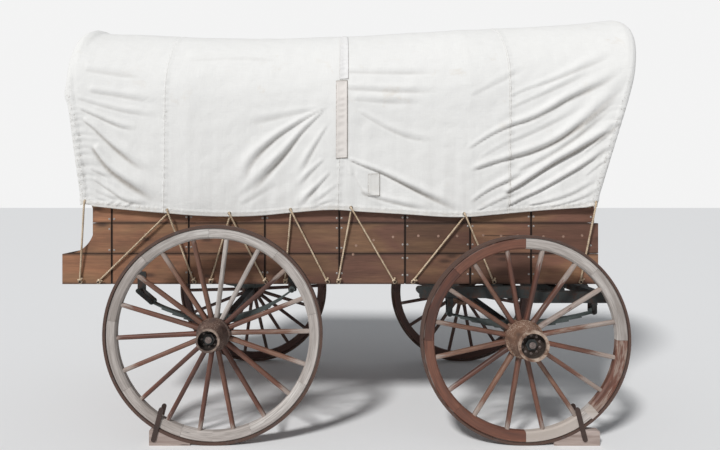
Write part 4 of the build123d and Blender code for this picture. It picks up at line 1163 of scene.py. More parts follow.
def thicken(piece, thickness):
    """Grows a wall inwards and makes it part of the mesh."""
    wall = piece.modifiers.new("wall", "SOLIDIFY")
    wall.thickness = thickness
    wall.offset = -1
    wall.use_even_offset = False
    return apply_modifiers(piece)


def flat_area(piece):
    """The area of one face of a thin closed sheet, in square metres."""
    areas = np.zeros(len(piece.data.polygons))
    piece.data.polygons.foreach_get("area", areas)
    return areas.sum() / 2


def distances(places, to_hem, seams):
    """How far each place is from the hem, the nearest seam and the nearer end, in metres."""
    share = (places[..., 2] - cover_base_z) / (np.interp(places[..., 0], stations[:, 1], stations[:, 2])
                                               - cover_base_z)
    x = places[..., 0]
    lines = stations[:, 0] + (stations[:, 1] - stations[:, 0]) * share[..., None]
    to_end = np.minimum(x - lines[..., 0], lines[..., -1] - x)
    to_seam = np.full(x.shape, far_away)
    for base_x, top_x in seams:
        to_seam = np.minimum(to_seam, np.abs(x - (base_x + (top_x - base_x) * share)))
    return np.stack((to_hem, to_seam, to_end), -1)


cover_pieces = []
for number, (first, second) in enumerate(zip(seam_lines, seam_lines[1:])):
    at_rear, at_front = number == 0, number == len(seam_lines) - 2
    wide = max(abs(second[0] - first[0]), abs(second[1] - first[1]))
    columns = int(np.ceil(wide / grid_step)) + 1
    longest = section_of(first[0], first[1])[2]
    body_rows = int(np.ceil((longest - hem_rows_width) / grid_step))
    hem_rows = int(np.ceil(hem_rows_width / hem_rows_step))
    # rows as a share of the length above the hem rows, and a share of the hem rows
    body_share = np.concatenate((np.linspace(0, 1, body_rows + 1), np.ones(hem_rows)))
    hem_share = np.concatenate((np.zeros(body_rows + 1), np.linspace(0, 1, hem_rows + 1)[1:]))
    body_share = np.concatenate((body_share[:0:-1], body_share))
    hem_share = np.concatenate((hem_share[:0:-1], hem_share))
    side = np.where(np.arange(len(body_share)) < len(body_share) // 2, -1.0, 1.0)
    t = np.linspace(0 if at_rear else -seam_lap / wide, 1, columns)[:, None]
    base_x = first[0] + (second[0] - first[0]) * t
    top_x = first[1] + (second[1] - first[1]) * t
    full = section_of(base_x, top_x)[2]
    length = body_share * (full - hem_rows_width) + hem_share * hem_rows_width
    side = np.broadcast_to(side, length.shape)
    extra_before, extra_after = [], []
    shift = np.zeros_like(length)
    if at_rear:
        extra_before, reach = end_columns(0, length[0], side[0])
        shift += reach * (1 - t)
        extra_before = extra_before[::-1]
    if at_front:
        extra_after, reach = end_columns(-1, length[-1], side[-1])
        shift -= reach * t
    pressed = 0 if at_front else -seam_step * ease((1 - t) * wide, 0.030, 0.016)
    body, painted_shade = cloth_point(base_x + shift, top_x + shift, length, side, pressed + 0 * length)
    places = np.stack([*extra_before, *body, *extra_after])
    before, after = len(extra_before), len(extra_after)
    column_of = np.concatenate((np.zeros(before, int), np.arange(columns), np.full(after, columns - 1)))
    u = (np.arange(len(places)) - before)[:, None] * grid_step + 10 * number + 0 * side[0]
    seams = seam_lines[1:-1][max(number - 1, 0):number + 1]
    to_hem = (np.broadcast_to(full, length.shape) - length)[column_of]
    # past the end line the painted shade of a crease fades out over the turn
    fading = np.ones(len(places))
    fading[:before] = np.linspace(0, 1, before + 1)[1:] ** 3
    fading[before + columns:] = np.linspace(1, 0, after + 1)[:-1] ** 3
    marks = {"edges": distances(places, to_hem, seams), "painted_shade": painted_shade[column_of] * fading[:, None]}
    uv = np.stack((u, (side * length)[column_of]), -1)
    piece = grid_mesh(f"cloth_{number + 1}", places[:, ::-1], uv[:, ::-1],
                      {label: values[:, ::-1] for label, values in marks.items()})
    cover_pieces.append(thicken(piece, cloth_thickness))
    print(piece.name, "faces:", len(piece.data.polygons), "area:", round(flat_area(piece), 3))

# %% [markdown]
# Cotton duck is a plain weave of thick threads, 1.4 mm apart: over and under like a
# chessboard, with thicker threads here and there. Both follow the cloth's UV map, in metres.
# The weave is a group, because the patches are cut from other cloth of the same kind.

# %% Weave group
thread_pitch = 0.0014
weave_group, given, wanted = open_group(
    "plain weave",
    [("Vector", "Vector", None), ("Seed", "Float", 0.0)],
    [("Threads", "Float"), ("Slubs", "Float")])
tree = weave_group
along, across, _ = put(tree, "SeparateXYZ", {0: given["Vector"]}).outputs
waves = [calc(tree, "SINE", calc(tree, "MULTIPLY", axis, pi / thread_pitch)) for axis in (along, across)]
threads = calc(tree, "MULTIPLY_ADD", calc(tree, "MULTIPLY", *waves), 0.5, 0.5)
thick = [noise(tree, stretch(tree, given["Vector"], factors), 1.0, 2.0, 0.6, 0.0,
               calc(tree, "ADD", given["Seed"], offset))
         for factors, offset in (((420, 9, 1), 0.0), ((9, 420, 1), 4.0))]
slubs = calc(tree, "MULTIPLY_ADD", calc(tree, "ADD", *thick), 0.5, 0.0)
tree.links.new(threads, wanted["Threads"])
tree.links.new(slubs, wanted["Slubs"])

# %% [markdown]
# The finish. The cloth is off-white. It is greyer low down and brownish along the hem, and it
# has a few old water stains. Painted brown shade darkens its deepest creases, the hollows of the
# puckers beside the stitches and the step at each seam. Along the hem, the seams and the casings
# the stitches pull it into fine puckers, which are bump here: the larger ones are in the mesh.

# %% Cotton
cloth_white = (0.785, 0.778, 0.758)
cloth_grey = (0.545, 0.535, 0.515)
cloth_stain = (0.62, 0.53, 0.42)
painted_shade_brown = (0.27, 0.235, 0.20)
pucker_pitch = 0.013


def cotton_finish(name, base, seed):
    """Weathered cotton duck on the cloth UV map."""
    made, tree, shader, where = new_finish(name)
    flat_place = put(tree, "UVMap", uv_map="cloth").outputs[0]
    weave = use_group(tree, weave_group, {"Vector": flat_place, "Seed": seed})
    edges = put(tree, "Attribute", attribute_name="edges").outputs["Vector"]
    to_hem, to_seam, to_end = put(tree, "SeparateXYZ", {0: edges}).outputs
    painted_shade = put(tree, "Attribute", attribute_name="painted_shade").outputs["Fac"]
    axes = put(tree, "SeparateXYZ", {0: where}).outputs
    clouds = noise(tree, where, 1.9, 4.0, 0.55, 0.3, seed)
    blots = noise(tree, where, 7.0, 5.0, 0.62, 0.5, seed + 3)
    specks = noise(tree, where, 46.0, 4.0, 0.65, 0.0, seed + 5)
    runs = noise(tree, stretch(tree, where, (16, 16, 1.1)), 1.0, 4.0, 0.6, 0.2, seed + 8)
    # greyer low down, in runs that rain has drawn
    low = span(tree, axes[2], 2.25, 1.45, 0.0, 0.50, smooth=True)
    grey = calc(tree, "MULTIPLY", low, span(tree, calc(tree, "ADD", clouds, runs), 0.75, 1.25))
    colour = mix(tree, grey, base, cloth_grey)
    stained = calc(tree, "MULTIPLY", span(tree, blots, 0.60, 0.72, 0.0, 0.30), span(tree, clouds, 0.45, 0.6))
    colour = mix(tree, stained, colour, cloth_stain)
    dirt_and_shade = calc(tree, "MULTIPLY", span(tree, to_hem, 0.045, 0.0, 0.0, 0.45, smooth=True),
                span(tree, specks, 0.35, 0.7))
    colour = mix(tree, dirt_and_shade, colour, cloth_stain)
    # painted shade, brown, in the deepest creases, broken up by specks
    worn_and_shade = calc(tree, "MULTIPLY", span(tree, painted_shade, 0.10, 0.95, 0.0, 0.75),
                span(tree, specks, 0.20, 0.60, 0.55, 1.0))
    colour = mix(tree, worn_and_shade, colour, painted_shade_brown)
    tone = span(tree, weave["Slubs"], 0.3, 0.7, 0.94, 1.04)
    colour = shade(tree, colour, tone)
    # puckers beside each line of stitches
    beside = calc(tree, "MAXIMUM", span(tree, calc(tree, "ABSOLUTE", calc(tree, "SUBTRACT", to_hem, 0.028)),
                                        0.016, 0.0),
                  calc(tree, "MAXIMUM", span(tree, to_seam, 0.026, 0.004),
                       calc(tree, "MULTIPLY", span(tree, to_end, 0.065, 0.045),
                            span(tree, to_end, -0.30, -0.20))))
    ruffle = noise(tree, stretch(tree, where, (1 / pucker_pitch,) * 3), 1.0, 3.0, 0.6, 0.8, seed + 11)
    crumple = noise(tree, where, 13.0, 5.0, 0.60, 0.9, seed + 13)
    height = calc(tree, "MULTIPLY", calc(tree, "MULTIPLY", ruffle, beside), 2.4)
    low_down = calc(tree, "MULTIPLY", span(tree, axes[2], 2.40, 2.15), span(tree, to_end, -0.012, 0.0))
    near_ends = span(tree, calc(tree, "ABSOLUTE", axes[0]), 1.0, 1.5, 0.30, 1.0)
    low_down = calc(tree, "MULTIPLY", low_down, near_ends)
    # painted shade: dark dots in the hollows of the puckers beside the stitches
    pucker_shade_dots = calc(tree, "MULTIPLY", span(tree, ruffle, 0.44, 0.34, 0.0, 0.55),
                calc(tree, "MULTIPLY", beside, low_down))
    colour = mix(tree, pucker_shade_dots, colour, painted_shade_brown)
    # painted shadow in the step where one cloth ends on the next
    lap_edge_shadow = calc(tree, "MULTIPLY", span(tree, to_seam, 0.0055, 0.0015),
                     span(tree, specks, 0.38, 0.58, 0.15, 0.7))
    lap_edge_shadow = calc(tree, "MULTIPLY", lap_edge_shadow, span(tree, axes[2], 2.65, 2.30, 0.25, 1.0))
    colour = mix(tree, lap_edge_shadow, colour, painted_shade_brown)
    height = calc(tree, "MULTIPLY_ADD", crumple, 2.2, height)
    height = calc(tree, "MULTIPLY_ADD", weave["Slubs"], 0.10, height)
    height = calc(tree, "MULTIPLY_ADD", weave["Threads"], 0.10, height)
    set_shader(tree, shader, colour, span(tree, weave["Threads"], 0.0, 1.0, 0.86, 0.93), None, height,
               0.0018)
    shader.inputs["Specular IOR Level"].default_value = 0.25
    shader.inputs["Sheen Weight"].default_value = 0.15
    shader.inputs["Sheen Roughness"].default_value = 0.5
    return made


cotton = cotton_finish("cotton", cloth_white, 1.0)
for number, piece in enumerate(cover_pieces):
    dress(piece.data, cotton)
    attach(piece, "wagon")
    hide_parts("cover")

# %% [markdown]
# Small things that repeat are made by Geometry Nodes: a tree takes a mesh of points or of lines
# and puts a small shape on each. Each tree has named inputs for its sizes. Its result is turned
# into a plain mesh, so the finished piece carries no live modifier.

# %% Geometry Nodes helpers
def open_tree(name, inputs):
    """A Geometry Nodes tree: the tree, its inputs by name, and a function that ends it."""
    tree = bpy.data.node_groups.new(name, "GeometryNodeTree")
    tree.interface.new_socket("Geometry", in_out="INPUT", socket_type="NodeSocketGeometry")
    for label, kind, value in inputs:
        socket = tree.interface.new_socket(label, in_out="INPUT", socket_type="NodeSocket" + kind)
        if value is not None:
            socket.default_value = value
    tree.interface.new_socket("Material", in_out="INPUT", socket_type="NodeSocketMaterial")
    tree.interface.new_socket("Geometry", in_out="OUTPUT", socket_type="NodeSocketGeometry")
    given = tree.nodes.new("NodeGroupInput").outputs

    def end_tree(geometry, smooth=True):
        real = plant(tree, "GeometryNodeRealizeInstances", {"Geometry": geometry}).outputs[0]
        shaded = plant(tree, "GeometryNodeSetShadeSmooth",
                       {"Geometry": real, "Shade Smooth": smooth}).outputs[0]
        done = plant(tree, "GeometryNodeSetMaterial", {"Geometry": shaded, "Material": given["Material"]})
        tree.links.new(done.outputs[0], tree.nodes.new("NodeGroupOutput").inputs[0])
    return tree, given, end_tree


def set_on_points(tree, points, shape, turned, size=(1, 1, 1)):
    """Puts a shape on each point, turned and sized."""
    return plant(tree, "GeometryNodeInstanceOnPoints", {
        "Points": points, "Instance": shape, "Rotation": turned, "Scale": size}).outputs[0]


def grow(name, tree, mesh, material, body, slot, **sizes):
    """Runs a tree on a mesh and makes the result a piece that rides on a body."""
    piece = bpy.data.objects.new(name, mesh)
    bpy.context.scene.collection.objects.link(piece)
    modifier = piece.modifiers.new("tree", "NODES")
    modifier.node_group = tree
    wanted = dict(sizes, Material=material)
    for item in tree.interface.items_tree:
        if item.item_type == "SOCKET" and item.in_out == "INPUT" and item.name in wanted:
            modifier[item.identifier] = wanted[item.name]
    apply_modifiers(piece)
    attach(piece, body)
    print(name, "triangles:", sum(len(face.vertices) - 2 for face in piece.data.polygons))
    return piece


def line_mesh(name, lines):
    """A mesh of loose edges along each line of places."""
    mesh = bpy.data.meshes.new(name)
    starts = np.cumsum([0] + [len(line) for line in lines])
    edges = [(start + k, start + k + 1) for start, line in zip(starts, lines) for k in range(len(line) - 1)]
    mesh.from_pydata(np.concatenate(lines).tolist(), edges, [])
    return mesh


def point_mesh(name, places):
    """A mesh of loose points, each facing out from its own side of the wagon."""
    mesh = bpy.data.meshes.new(name)
    mesh.from_pydata([tuple(place) for place in places], [], [])
    facing = [(0, np.sign(y), 0) for _, y, _ in places]
    mark = mesh.attributes.new("facing", "FLOAT_VECTOR", "POINT")
    mark.data.foreach_set("vector", np.array(facing, np.float32).reshape(-1))
    return mesh


def stud_sizes(radius, height, washer_radius, washer_thickness):
    """Sizes for the stud tree's inputs, by name."""
    return {"Radius": radius, "Height": height, "Washer radius": washer_radius,
            "Washer thickness": washer_thickness}


def turn_to_face(tree):
    """The turn at each point that lays a shape's Z along the direction that it faces."""
    facing = plant(tree, "GeometryNodeInputNamedAttribute", {"Name": "facing"},
                   data_type="FLOAT_VECTOR").outputs[0]
    return plant(tree, "FunctionNodeAlignRotationToVector", {"Vector": facing}, axis="Z").outputs[0]


# %% [markdown]
# Four trees do the work. The first walks along lines and lays a stitch at each pitch. The
# second puts a round head on a washer at each point, for bolts, plugs and pegs. The third puts a
# ring at each point, for the eyelets. The fourth twists a three-lobed section along lines, which
# looks like a three-strand rope for the price of one tube.

# %% Stitch tree
stitch_tree, given, end_tree = open_tree("stitches", [
    ("Pitch", "Float", 0.009), ("Length", "Float", 0.006), ("Thickness", "Float", 0.0011)])
curve = plant(stitch_tree, "GeometryNodeMeshToCurve", {"Mesh": given["Geometry"]}).outputs[0]
steps = plant(stitch_tree, "GeometryNodeCurveToPoints", {"Curve": curve, "Length": given["Pitch"]},
              mode="LENGTH").outputs
turned = plant(stitch_tree, "FunctionNodeAlignRotationToVector", {"Vector": steps["Tangent"]},
               axis="Z").outputs[0]
grain_shape = plant(stitch_tree, "GeometryNodeMeshIcoSphere", {"Radius": 1.0, "Subdivisions": 1}).outputs[0]
half = calc(stitch_tree, "MULTIPLY", given["Length"], 0.5)
size = put(stitch_tree, "CombineXYZ", {0: given["Thickness"], 1: given["Thickness"], 2: half}).outputs[0]
end_tree(set_on_points(stitch_tree, steps["Points"], grain_shape, turned, size))

# %% Stud tree
stud_tree, given, end_tree = open_tree("studs", [
    ("Radius", "Float", 0.009), ("Height", "Float", 0.005), ("Washer radius", "Float", 0.013),
    ("Washer thickness", "Float", 0.002)])
turned = turn_to_face(stud_tree)
dome = plant(stud_tree, "GeometryNodeMeshUVSphere", {"Segments": 12, "Rings": 6, "Radius": 1.0}).outputs[0]
size = put(stud_tree, "CombineXYZ", {0: given["Radius"], 1: given["Radius"],
                                     2: given["Height"]}).outputs[0]
heads = set_on_points(stud_tree, given["Geometry"], dome, turned, size)
disc = plant(stud_tree, "GeometryNodeMeshCylinder", {
    "Vertices": 14, "Radius": given["Washer radius"], "Depth": given["Washer thickness"]}).outputs[0]
washers = set_on_points(stud_tree, given["Geometry"], disc, turned)
both = plant(stud_tree, "GeometryNodeJoinGeometry")
for part in (heads, washers):
    stud_tree.links.new(part, both.inputs[0])
end_tree(both.outputs[0], smooth=False)

# %% Ring tree
ring_tree, given, end_tree = open_tree("rings", [
    ("Radius", "Float", 0.0105), ("Thickness", "Float", 0.0028)])
turned = turn_to_face(ring_tree)
loop = plant(ring_tree, "GeometryNodeCurvePrimitiveCircle", {"Resolution": 18,
                                                             "Radius": given["Radius"]}).outputs[0]
section = plant(ring_tree, "GeometryNodeCurvePrimitiveCircle", {"Resolution": 8,
                                                                "Radius": given["Thickness"]}).outputs[0]
ring = plant(ring_tree, "GeometryNodeCurveToMesh", {"Curve": loop, "Profile Curve": section}).outputs[0]
end_tree(set_on_points(ring_tree, given["Geometry"], ring, turned))

# %% Rope tree
rope_tree, given, end_tree = open_tree("rope", [
    ("Radius", "Float", 0.0055), ("Lay", "Float", 0.036), ("Step", "Float", 0.0065),
    ("Groove", "Float", 0.22)])
curve = plant(rope_tree, "GeometryNodeMeshToCurve", {"Mesh": given["Geometry"]}).outputs[0]
curve = plant(rope_tree, "GeometryNodeResampleCurve", {"Curve": curve, "Length": given["Step"]},
              mode="LENGTH").outputs[0]
way = plant(rope_tree, "GeometryNodeSplineParameter").outputs["Length"]
twist = calc(rope_tree, "MULTIPLY", calc(rope_tree, "DIVIDE", way, given["Lay"]), 2 * pi)
curve = plant(rope_tree, "GeometryNodeSetCurveTilt", {"Curve": curve, "Tilt": twist}).outputs[0]
lobe_points = 12
round_section = plant(rope_tree, "GeometryNodeCurvePrimitiveCircle", {"Resolution": lobe_points,
                                                                      "Radius": 1.0}).outputs[0]
number = plant(rope_tree, "GeometryNodeInputIndex").outputs[0]
lobe = calc(rope_tree, "COSINE", calc(rope_tree, "MULTIPLY", number, 3 * 2 * pi / lobe_points))
grow_by = calc(rope_tree, "MULTIPLY_ADD", lobe, given["Groove"], 1.0)
reach = calc(rope_tree, "MULTIPLY", grow_by, given["Radius"])
place = plant(rope_tree, "GeometryNodeInputPosition").outputs[0]
place = put(rope_tree, "VectorMath", {0: place, "Scale": reach}, operation="SCALE").outputs[0]
section = plant(rope_tree, "GeometryNodeSetPosition", {"Geometry": round_section,
                                                       "Position": place}).outputs[0]
end_tree(plant(rope_tree, "GeometryNodeCurveToMesh", {
    "Curve": curve, "Profile Curve": section, "Fill Caps": True}).outputs[0])
print("trees:", [tree.name for tree in bpy.data.node_groups if tree.bl_idname == "GeometryNodeTree"])

# %% [markdown]
# Finishes of the small things: linen thread, hemp rope that has gone grey on its outside, zinc
# on the bolts, dull brass on the eyelets, and pale plugs in the boards.

# %% Small finishes
def tinted_finish(name, low, high, scale, rough, metal=0.0, depth=0.0003, stretched=(1, 1, 1)):
    """Two tones of one colour, mixed by noise, with a little bump."""
    made, tree, shader, where = new_finish(name)
    tone = noise(tree, stretch(tree, where, stretched), scale, 4.0, 0.65)
    fine = noise(tree, stretch(tree, where, stretched), scale * 7, 2.0, 0.6)
    set_shader(tree, shader, mix(tree, span(tree, tone, 0.35, 0.65), low, high),
               span(tree, fine, 0.3, 0.7, rough - 0.08, rough + 0.08), metal, fine, depth)
    return made


thread = tinted_finish("thread", (0.36, 0.32, 0.27), (0.60, 0.56, 0.50), 60, 0.8)
hemp = tinted_finish("hemp", (0.42, 0.30, 0.19), (0.74, 0.60, 0.44), 55, 0.85, 0.0, 0.0008, (1, 1, 0.35))
zinc = tinted_finish("zinc", (0.30, 0.27, 0.25), (0.52, 0.49, 0.46), 120, 0.45, 0.55)
worn_iron = tinted_finish("worn iron", (0.13, 0.10, 0.09), (0.27, 0.22, 0.20), 90, 0.45, 0.6)
brass = tinted_finish("dull brass", (0.16, 0.13, 0.09), (0.40, 0.34, 0.24), 90, 0.45, 0.8)
plug_wood = tinted_finish("plug wood", (0.24, 0.14, 0.10), (0.38, 0.25, 0.19), 80, 0.75)
peg_iron = tinted_finish("peg iron", (0.030, 0.024, 0.022), (0.085, 0.050, 0.036), 70, 0.6, 0.3)

# %% [markdown]
# Where things sit on the cloth. A column of cloth is known by the place where it meets the hem,
# and a pixel of the photo is turned into a column and a length by looking for the point of the
# plain hoops that the camera sees there.

# %% Places on the cloth
hem_share = 0.036  # how far up its height a column meets the hem
thread_lift = 0.0004


def column_at(x):
    """Base X and top X of the column of cloth that meets the hem at x."""
    at_hem = seam_lines[:, 0] + (seam_lines[:, 1] - seam_lines[:, 0]) * hem_share
    return np.interp(x, at_hem, seam_lines[:, 0]), np.interp(x, at_hem, seam_lines[:, 1])


def near_hem(x, to_hem, side, lift=0.0):
    """A place on the cloth, a little above the hem."""
    base_x, top_x = (np.asarray(value) for value in column_at(x))
    length = section_of(base_x, top_x)[2] - to_hem
    return cloth_point(base_x, top_x, length, side, lift)[0]


def cloth_spot(across, down):
    """The hem place of the column, and the length, of the near cloth that shows at a pixel."""
    lengths = np.linspace(0.25, 1.70, 800)
    x = camera_place.x + (across - vanishing_point[0]) / focal_pixels * (-camera_place.y - cover_shoulder)
    for _ in range(4):
        base_x, top_x = column_at(x)
        seen_x, seen_y = see(hoop_point(base_x, top_x, lengths, -1.0)[0])
        x += (across - np.interp(down, seen_y, seen_x)) / focal_pixels * -camera_place.y
    return x, np.interp(down, seen_y, lengths)


# %% [markdown]
# Stitches. Two rows hold each seam, one row holds the hem, and one holds the straight sides of
# each casing. They sit on the finished surface, so they follow every pucker.

# %% Stitches
seam_rows = (-0.0115, -0.0030)  # from the seam's line, in metres
hem_row = 0.027
hem_from, hem_to = -1.790, 1.530
casing_row = 0.046  # from the end of the cover
line_step = 0.008
stitch_lines = []
for base_x, top_x in seam_lines[1:-1]:
    for offset in seam_rows:
        full = section_of(base_x + offset, top_x + offset)[2] - 0.002
        around = np.arange(-full, full, line_step)
        stitch_lines.append(cloth_point(base_x + offset, top_x + offset, np.abs(around),
                                        np.where(around < 0, -1.0, 1.0), thread_lift)[0])
for side in (-1.0, 1.0):
    along = np.arange(hem_from, hem_to, line_step)
    stitch_lines.append(near_hem(along, hem_row, side, thread_lift))
    for end, sign in ((0, 1), (-1, -1)):
        base_x, top_x = (stations[end, k] + sign * casing_row for k in (0, 1))
        down = np.arange(arc_length, section_of(base_x, top_x)[2] - 0.03, line_step)
        stitch_lines.append(cloth_point(base_x, top_x, down, side, thread_lift)[0])
grow("stitches", stitch_tree, line_mesh("stitches", stitch_lines), thread, "wagon", "cover_cotton",
     Pitch=0.009, Length=0.0065, Thickness=0.0010)

# %% [markdown]
# Patches. A beige strip covers the middle seam at the height of the shoulder, a shorter one
# sits above it, and a small square is sewn on low down. The strip is loose at its ends and
# front edge, and painted shade draws a dark line along the ends and front edge of each patch.

# %% Patches
patch_lift = 0.0034
patch_wall = 0.0012
patch_step = 0.008
# left, top, right and bottom in pixels, metres that loose edges stand up, and the painted shade at them
patch_rows = {
    "patch_strip": (336.0, 81.0, 347.5, 158.6, 0.0035, 1.0),
    "patch_upper": (339.5, 37.5, 348.5, 79.5, 0.0003, 0.20),
    "patch_small": (368.0, 174.0, 380.0, 196.5, 0.0012, 0.7),
}
patch_cotton = {
    "patch_strip": cotton_finish("beige cotton", (0.755, 0.708, 0.67), 4.0),
    "patch_upper": cotton_finish("pale cotton", (0.778, 0.766, 0.756), 6.0),
    "patch_small": cotton_finish("old cotton", (0.765, 0.75, 0.72), 8.0),
}
for name, (left, top, right, bottom, loose, dirt_and_shade) in patch_rows.items():
    first, high = cloth_spot(left, (top + bottom) / 2)[0], cloth_spot(left, top)[1]
    lean = cloth_spot(left, bottom)[0] - cloth_spot(left, top)[0]
    last, low = cloth_spot(right, (top + bottom) / 2)[0], cloth_spot(left, bottom)[1]
    wide, long = last - first, low - high
    u, v = np.meshgrid(np.linspace(0, wide, int(wide / patch_step) + 2),
                       np.linspace(0, long, int(long / patch_step) + 2), indexing="ij")
    base_x, top_x = column_at(first + u + lean * (v / long - 0.5))
    from_edge = np.minimum(np.minimum(v, long - v), wide - u)
    lift = patch_lift + loose * bell(from_edge, 0.006)
    places = cloth_point(base_x, top_x, high + v, -1.0, lift)[0]
    far = np.full(u.shape, far_away)
    marks = {"edges": np.stack((far, np.minimum(u, from_edge), far), -1),
             # painted shade along the ends and front edge of the patch
             "painted_shade": dirt_and_shade * bell(from_edge, 0.0045)}
    piece = thicken(grid_mesh(name, places[:, ::-1], np.stack((u, v), -1)[:, ::-1],
                              {label: values[:, ::-1] for label, values in marks.items()}), patch_wall)
    dress(piece.data, patch_cotton[name])
    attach(piece, "wagon")
    print(name, "wide:", round(float(wide), 3), "long:", round(float(long), 3))

# %% [markdown]
# Ropes. Each rope holds down one eyelet and is tied to two pegs in the lower edge of the box.
# It comes up behind the hem, goes out through the eyelet and down over the hem, and ends at
# each peg with one turn round itself and a loop round the peg. Single ropes hold the corners.
# The ropes are tight, so they run straight.

# %% Ropes
rope_radius = 0.0060
board_face = 0.585
foot_y = board_face + rope_radius + 0.0008
foot_z = 0.982
eyelet_rise = 0.021
rope_rows = (  # X of the eyelet, X of the peg behind it, X of the peg in front
    (-1.264, -1.730, -1.093), (-0.856, -0.986, -0.618), (-0.452, -0.489, -0.206),
    (-0.054, -0.136, 0.240), (0.696, 0.359, 0.900),
)
corner_rows = (  # X of the eyelet, height above the hem, X of the peg
    (-1.797, 0.030, -1.852), (1.541, 0.034, 1.475),
)
loop_radius = 0.0085
wrap_turns, wrap_pitch, wrap_points = 1, 0.0100, 12
wrap_wide, wrap_deep = 0.0092, 0.0074
wrap_rise = 0.020  # from the peg to the upper turn
wrap_out = 0.0080  # from the peg's middle away from the box
tail_length = 0.009
tail_across, tail_out = 0.013, 0.009
entry_rise, entry_out = 0.007, 0.003  # where the tail goes over into the loop
rope_from, rope_aside = 0.026, 0.003  # where the straight rope begins above the peg
behind_cloth, before_cloth = 0.0040, 0.0022  # gaps between a rope and the cloth at an eyelet
peg_out = 0.013  # from the board to the middle of a peg's shank
peg_sizes = stud_sizes(0.0075, 0.0035, 0.0042, 0.026)


def tied_end(foot, way, side):
    """Points of a knot: a tail, a turn round the standing rope, and a loop round the peg."""
    out = np.array((0.0, side, 0.0))
    across = np.cross(way, out)
    points = [foot + way * (wrap_rise + tail_length * share) + across * tail_across + out * tail_out
              for share in (1.0, 0.4)]
    for number in range(wrap_turns * wrap_points):
        turn = 2 * pi * number / wrap_points
        middle = foot + way * (wrap_rise - wrap_pitch * number / wrap_points) + out * wrap_out
        points.append(middle + across * wrap_wide * cos(turn) + out * wrap_deep * sin(turn))
    points.append(foot + way * entry_rise + across * wrap_wide + out * entry_out)
    for turn in np.linspace(0, pi, 7):
        points.append(foot + across * loop_radius * cos(turn) - way * loop_radius * sin(turn))
    points.append(foot + way * rope_from - across * rope_aside)
    return points


def unit(vector):
    """A vector's direction, as a vector of length 1."""
    return vector / np.linalg.norm(vector)


for side, hand in ((-1.0, "right"), (1.0, "left")):
    lines, pegs, rings = [], [], []
    out = np.array((0.0, side, 0.0))
    for x, behind, before in rope_rows:
        eye = near_hem(x, eyelet_rise, side)
        inner = eye - out * (rope_radius + behind_cloth)
        outer = eye + out * (rope_radius + before_cloth)
        foot_a, foot_b = (np.array((end, side * foot_y, foot_z)) for end in (behind, before))
        over_hem = outer + (foot_b - outer) * 0.06 + out * 0.0025
        through = [inner - (0, 0, 0.022), inner - (0, 0, 0.006), inner + (0, 0, 0.002), eye + (0, 0, 0.005),
                   outer + (0, 0, 0.002), outer + (foot_b - outer) * 0.015]
        lines.append(np.array(tied_end(foot_a, unit(inner - foot_a), side) + through + [over_hem]
                              + tied_end(foot_b, unit(over_hem - foot_b), side)[::-1]))
        pegs += [foot_a, foot_b]
        rings.append(eye)
    for x, rise, peg_x in corner_rows:
        eye = near_hem(x, rise, side)
        outer = eye + out * (rope_radius + before_cloth)
        foot = np.array((peg_x, side * foot_y, foot_z))
        over_hem = outer + (foot - outer) * 0.085 + out * 0.003
        start = [eye - out * 0.012 - (0, 0, 0.014), eye - out * 0.009, eye + (0, 0, 0.004),
                 outer - (0, 0, 0.002)]
        lines.append(np.array(start + [over_hem] + tied_end(foot, unit(over_hem - foot), side)[::-1]))
        pegs.append(foot)
        rings.append(eye)
    ropes = grow(f"ropes_{hand}", rope_tree, line_mesh(f"ropes_{hand}", lines), hemp, "wagon", "rope",
                 Radius=rope_radius, Lay=0.040, Step=0.0065, Groove=0.20)
    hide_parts(f"tie_ropes_{hand}")
    peg_places = [(x, side * (board_face + peg_out), z) for x, _, z in pegs]
    grow(f"pegs_{hand}", stud_tree, point_mesh("pegs", peg_places), peg_iron, "wagon", "gear_iron",
         **peg_sizes)
    grow(f"eyelets_{hand}", ring_tree, point_mesh("eyelets", rings), brass, "wagon", "gear_iron",
         Radius=0.0098, Thickness=0.0026)

# %% [markdown]
# Bolts. Pairs of round-headed bolts stand on both sides of each upright joint of the box, where
# they go through into the posts. Pale wooden plugs cover a row of screws in the middle boards.

# %% Bolts and plugs
bolt_offset = 0.016  # from the joint to the bolts on each side of it
bolt_sizes = stud_sizes(0.0052, 0.0038, 0.0068, 0.0018)
plug_sizes = stud_sizes(0.0072, 0.0012, 0.0085, 0.0008)
joint_bolts = {  # X of the joint: heights behind it, heights before it
    -1.645: ((1.401, 1.334, 1.194), (1.401, 1.194)),
    -1.132: ((1.414, 1.214, 1.045), (1.414, 1.214, 1.045)),
    -0.625: ((1.408, 1.210, 1.045), (1.408, 1.210, 1.045)),
    -0.130: ((1.407, 1.341, 1.208, 1.040), (1.407, 1.341, 1.208, 1.040)),
    0.308: ((1.411, 1.231, 1.141, 1.028), (1.411, 1.354, 1.231, 1.141, 1.028)),
    0.742: ((1.354, 1.231, 1.034), (1.354, 1.231, 1.034)),
    1.148: ((1.417, 1.354, 1.148, 1.034), (1.417, 1.354, 1.148, 1.034)),
    1.562: ((1.415, 1.225), ()),
}
plug_places = (  # X, height
    (0.098, 1.261), (0.228, 1.281), (0.397, 1.289), (0.530, 1.287), (0.655, 1.288), (0.829, 1.292),
    (0.948, 1.289), (1.059, 1.290), (1.230, 1.284), (1.362, 1.284), (1.487, 1.291),
    (-0.018, 1.224), (-0.038, 1.164), (-1.420, 1.300), (-1.520, 1.110),
)
